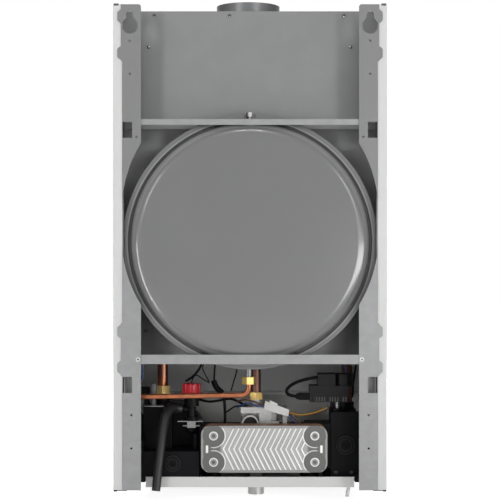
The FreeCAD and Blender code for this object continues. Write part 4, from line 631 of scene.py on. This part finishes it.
capTether = dict(
    corners=[(2.0, 558.6), (5.0, 558.6), (5.4, 561), (5.4, 566), (4.4, 568.4), (3.7, 568), (4.0, 565.6),
             (3.9, 561.6), (2.0, 560.6)],
    axis="depth", start=17.5, end=20.5, finish="blackCable", slotName="black_moulding", bevel=0.2)
prism("capTether", **capTether)
print("trim: plug, lips, return foot, tether,", 2 * len(sideTrim), "side tabs and pads")

studio = {
    "floorHeight": -0.7255, "floorAcross": 6, "floorFront": -8, "floorRear": 6,
    "white": (0.92, 0.92, 0.92), "floorGlow": 0.86,
    "ambient": 0.25,  # world light on the object
    "backing": 1.0,  # what shows behind it
}


def rayShare(tree, kinds):
    rays = addNode(tree, "ShaderNodeLightPath")
    share = 0.0
    for kind in kinds:
        share = either(tree, share, rays.outputs[kind])
    return share


floorFinish, floorTree, floorShader = newFinish("studioWhite")
floorShader.inputs["Base Color"].default_value = (*studio["white"], 1)
floorShader.inputs["Roughness"].default_value = 0.9
floorShader.inputs["Specular IOR Level"].default_value = 0.0
floorShader.inputs["Emission Color"].default_value = (1, 1, 1, 1)
floorShows = rayShare(floorTree, ["Is Camera Ray", "Is Glossy Ray"])
floorTree.links.new(both(floorTree, floorShows, studio["floorGlow"]), floorShader.inputs["Emission Strength"])

low, wide = studio["floorHeight"], studio["floorAcross"]
front, rear = studio["floorFront"], studio["floorRear"]
floorMesh = bpy.data.meshes.new("floor")
floorMesh.from_pydata([(-wide, front, low), (wide, front, low), (wide, rear, low), (-wide, rear, low)],
                      [], [(0, 1, 2, 3)])
floorMesh.materials.append(floorFinish)
floor = bpy.data.objects.new("floor", floorMesh)
bpy.context.scene.collection.objects.link(floor)

world = bpy.data.worlds.new("studioWorld")
bpy.context.scene.world = world
world.use_nodes = True
sky = world.node_tree
skyLevel = addNode(sky, "ShaderNodeMapRange")
skyLevel.inputs["To Min"].default_value = studio["ambient"]
skyLevel.inputs["To Max"].default_value = studio["backing"]
skyShows = rayShare(sky, ["Is Camera Ray", "Is Glossy Ray", "Is Transmission Ray"])
sky.nodes["Background"].inputs["Color"].default_value = (1, 1, 1, 1)
sky.links.new(skyShows, skyLevel.inputs["Value"])
sky.links.new(skyLevel.outputs["Result"], sky.nodes["Background"].inputs["Strength"])

softBoxes = {
    "leftKey": dict(at=(1.25, 1.85, 0.15), aim=(0, 0, -0.35), size=(0.35, 0.8), power=13.7, glossy=False),
    "rightKey": dict(at=(-1.25, 1.85, 0.15), aim=(0, 0, -0.35), size=(0.35, 0.8), power=13.7, glossy=False),
    "topLeft": dict(at=(0.12, 1.5, 1.2), aim=(0, 0, -0.2), size=(0.12, 0.12), power=2.5),
    "topRight": dict(at=(-0.12, 1.5, 1.2), aim=(0, 0, -0.2), size=(0.12, 0.12), power=2.5),
    "frontFill": dict(at=(0, 2.6, -0.55), aim=(0, -0.2, -0.55), size=(1.4, 0.3), power=6, glossy=False),
    "collarLeft": dict(at=(1.12, 1.6, 0.25), aim=(0, -0.1, 0.03), size=(0.3, 0.5), power=4.2, diffuse=False),
    "collarRight": dict(at=(-1.04, 1.6, 0.25), aim=(0, -0.1, 0.03), size=(0.3, 0.5), power=3.6,
                        diffuse=False),
    "rightCard": dict(at=(-1.15, 1.25, -0.53), aim=(0, 0, -0.33), size=(1.5, 0.38), power=22, diffuse=False),
    "coverLeft": dict(at=(1.3, -2.1, 0.5), aim=(0, -0.3, -0.4), size=(0.6, 0.9), power=15, glossy=False),
    "coverRight": dict(at=(-1.3, -2.1, 0.5), aim=(0, -0.3, -0.4), size=(0.6, 0.9), power=15, glossy=False),
    "leftStrip": dict(at=(0.54, 0.26, -0.51), aim=(0.17, 0, -0.40), size=(0.05, 0.4), power=1.4,
                      diffuse=False),
}
for boxName, values in softBoxes.items():
    lamp = bpy.data.lights.new(boxName, "AREA")
    lamp.shape = "RECTANGLE"
    lamp.size, lamp.size_y = values["size"]
    lamp.energy = values["power"]
    holder = bpy.data.objects.new(boxName, lamp)
    holder.location = values["at"]
    facing = Vector(values["aim"]) - Vector(values["at"])
    holder.rotation_euler = facing.to_track_quat("-Z", "Y").to_euler()
    holder.visible_glossy = values.get("glossy", True)
    holder.visible_diffuse = values.get("diffuse", True)  # reflector cards only show in gloss
    bpy.context.scene.collection.objects.link(holder)

shot = {"distance": 2.15, "height": 0.360, "lens": 103.4, "sensor": 36, "reach": 50}
lensData = bpy.data.cameras.new("photoCamera")
lensData.lens = shot["lens"]
lensData.sensor_width = shot["sensor"]
lensData.clip_end = shot["reach"]
photoCamera = bpy.data.objects.new("photoCamera", lensData)
photoCamera.location = (0, shot["distance"], shot["height"] - hookHeight)
photoCamera.rotation_euler = (math.radians(90), 0, math.radians(180))
bpy.context.scene.collection.objects.link(photoCamera)
bpy.context.scene.camera = photoCamera
bpy.context.scene.view_settings.view_transform = "Standard"
print("studio ready")
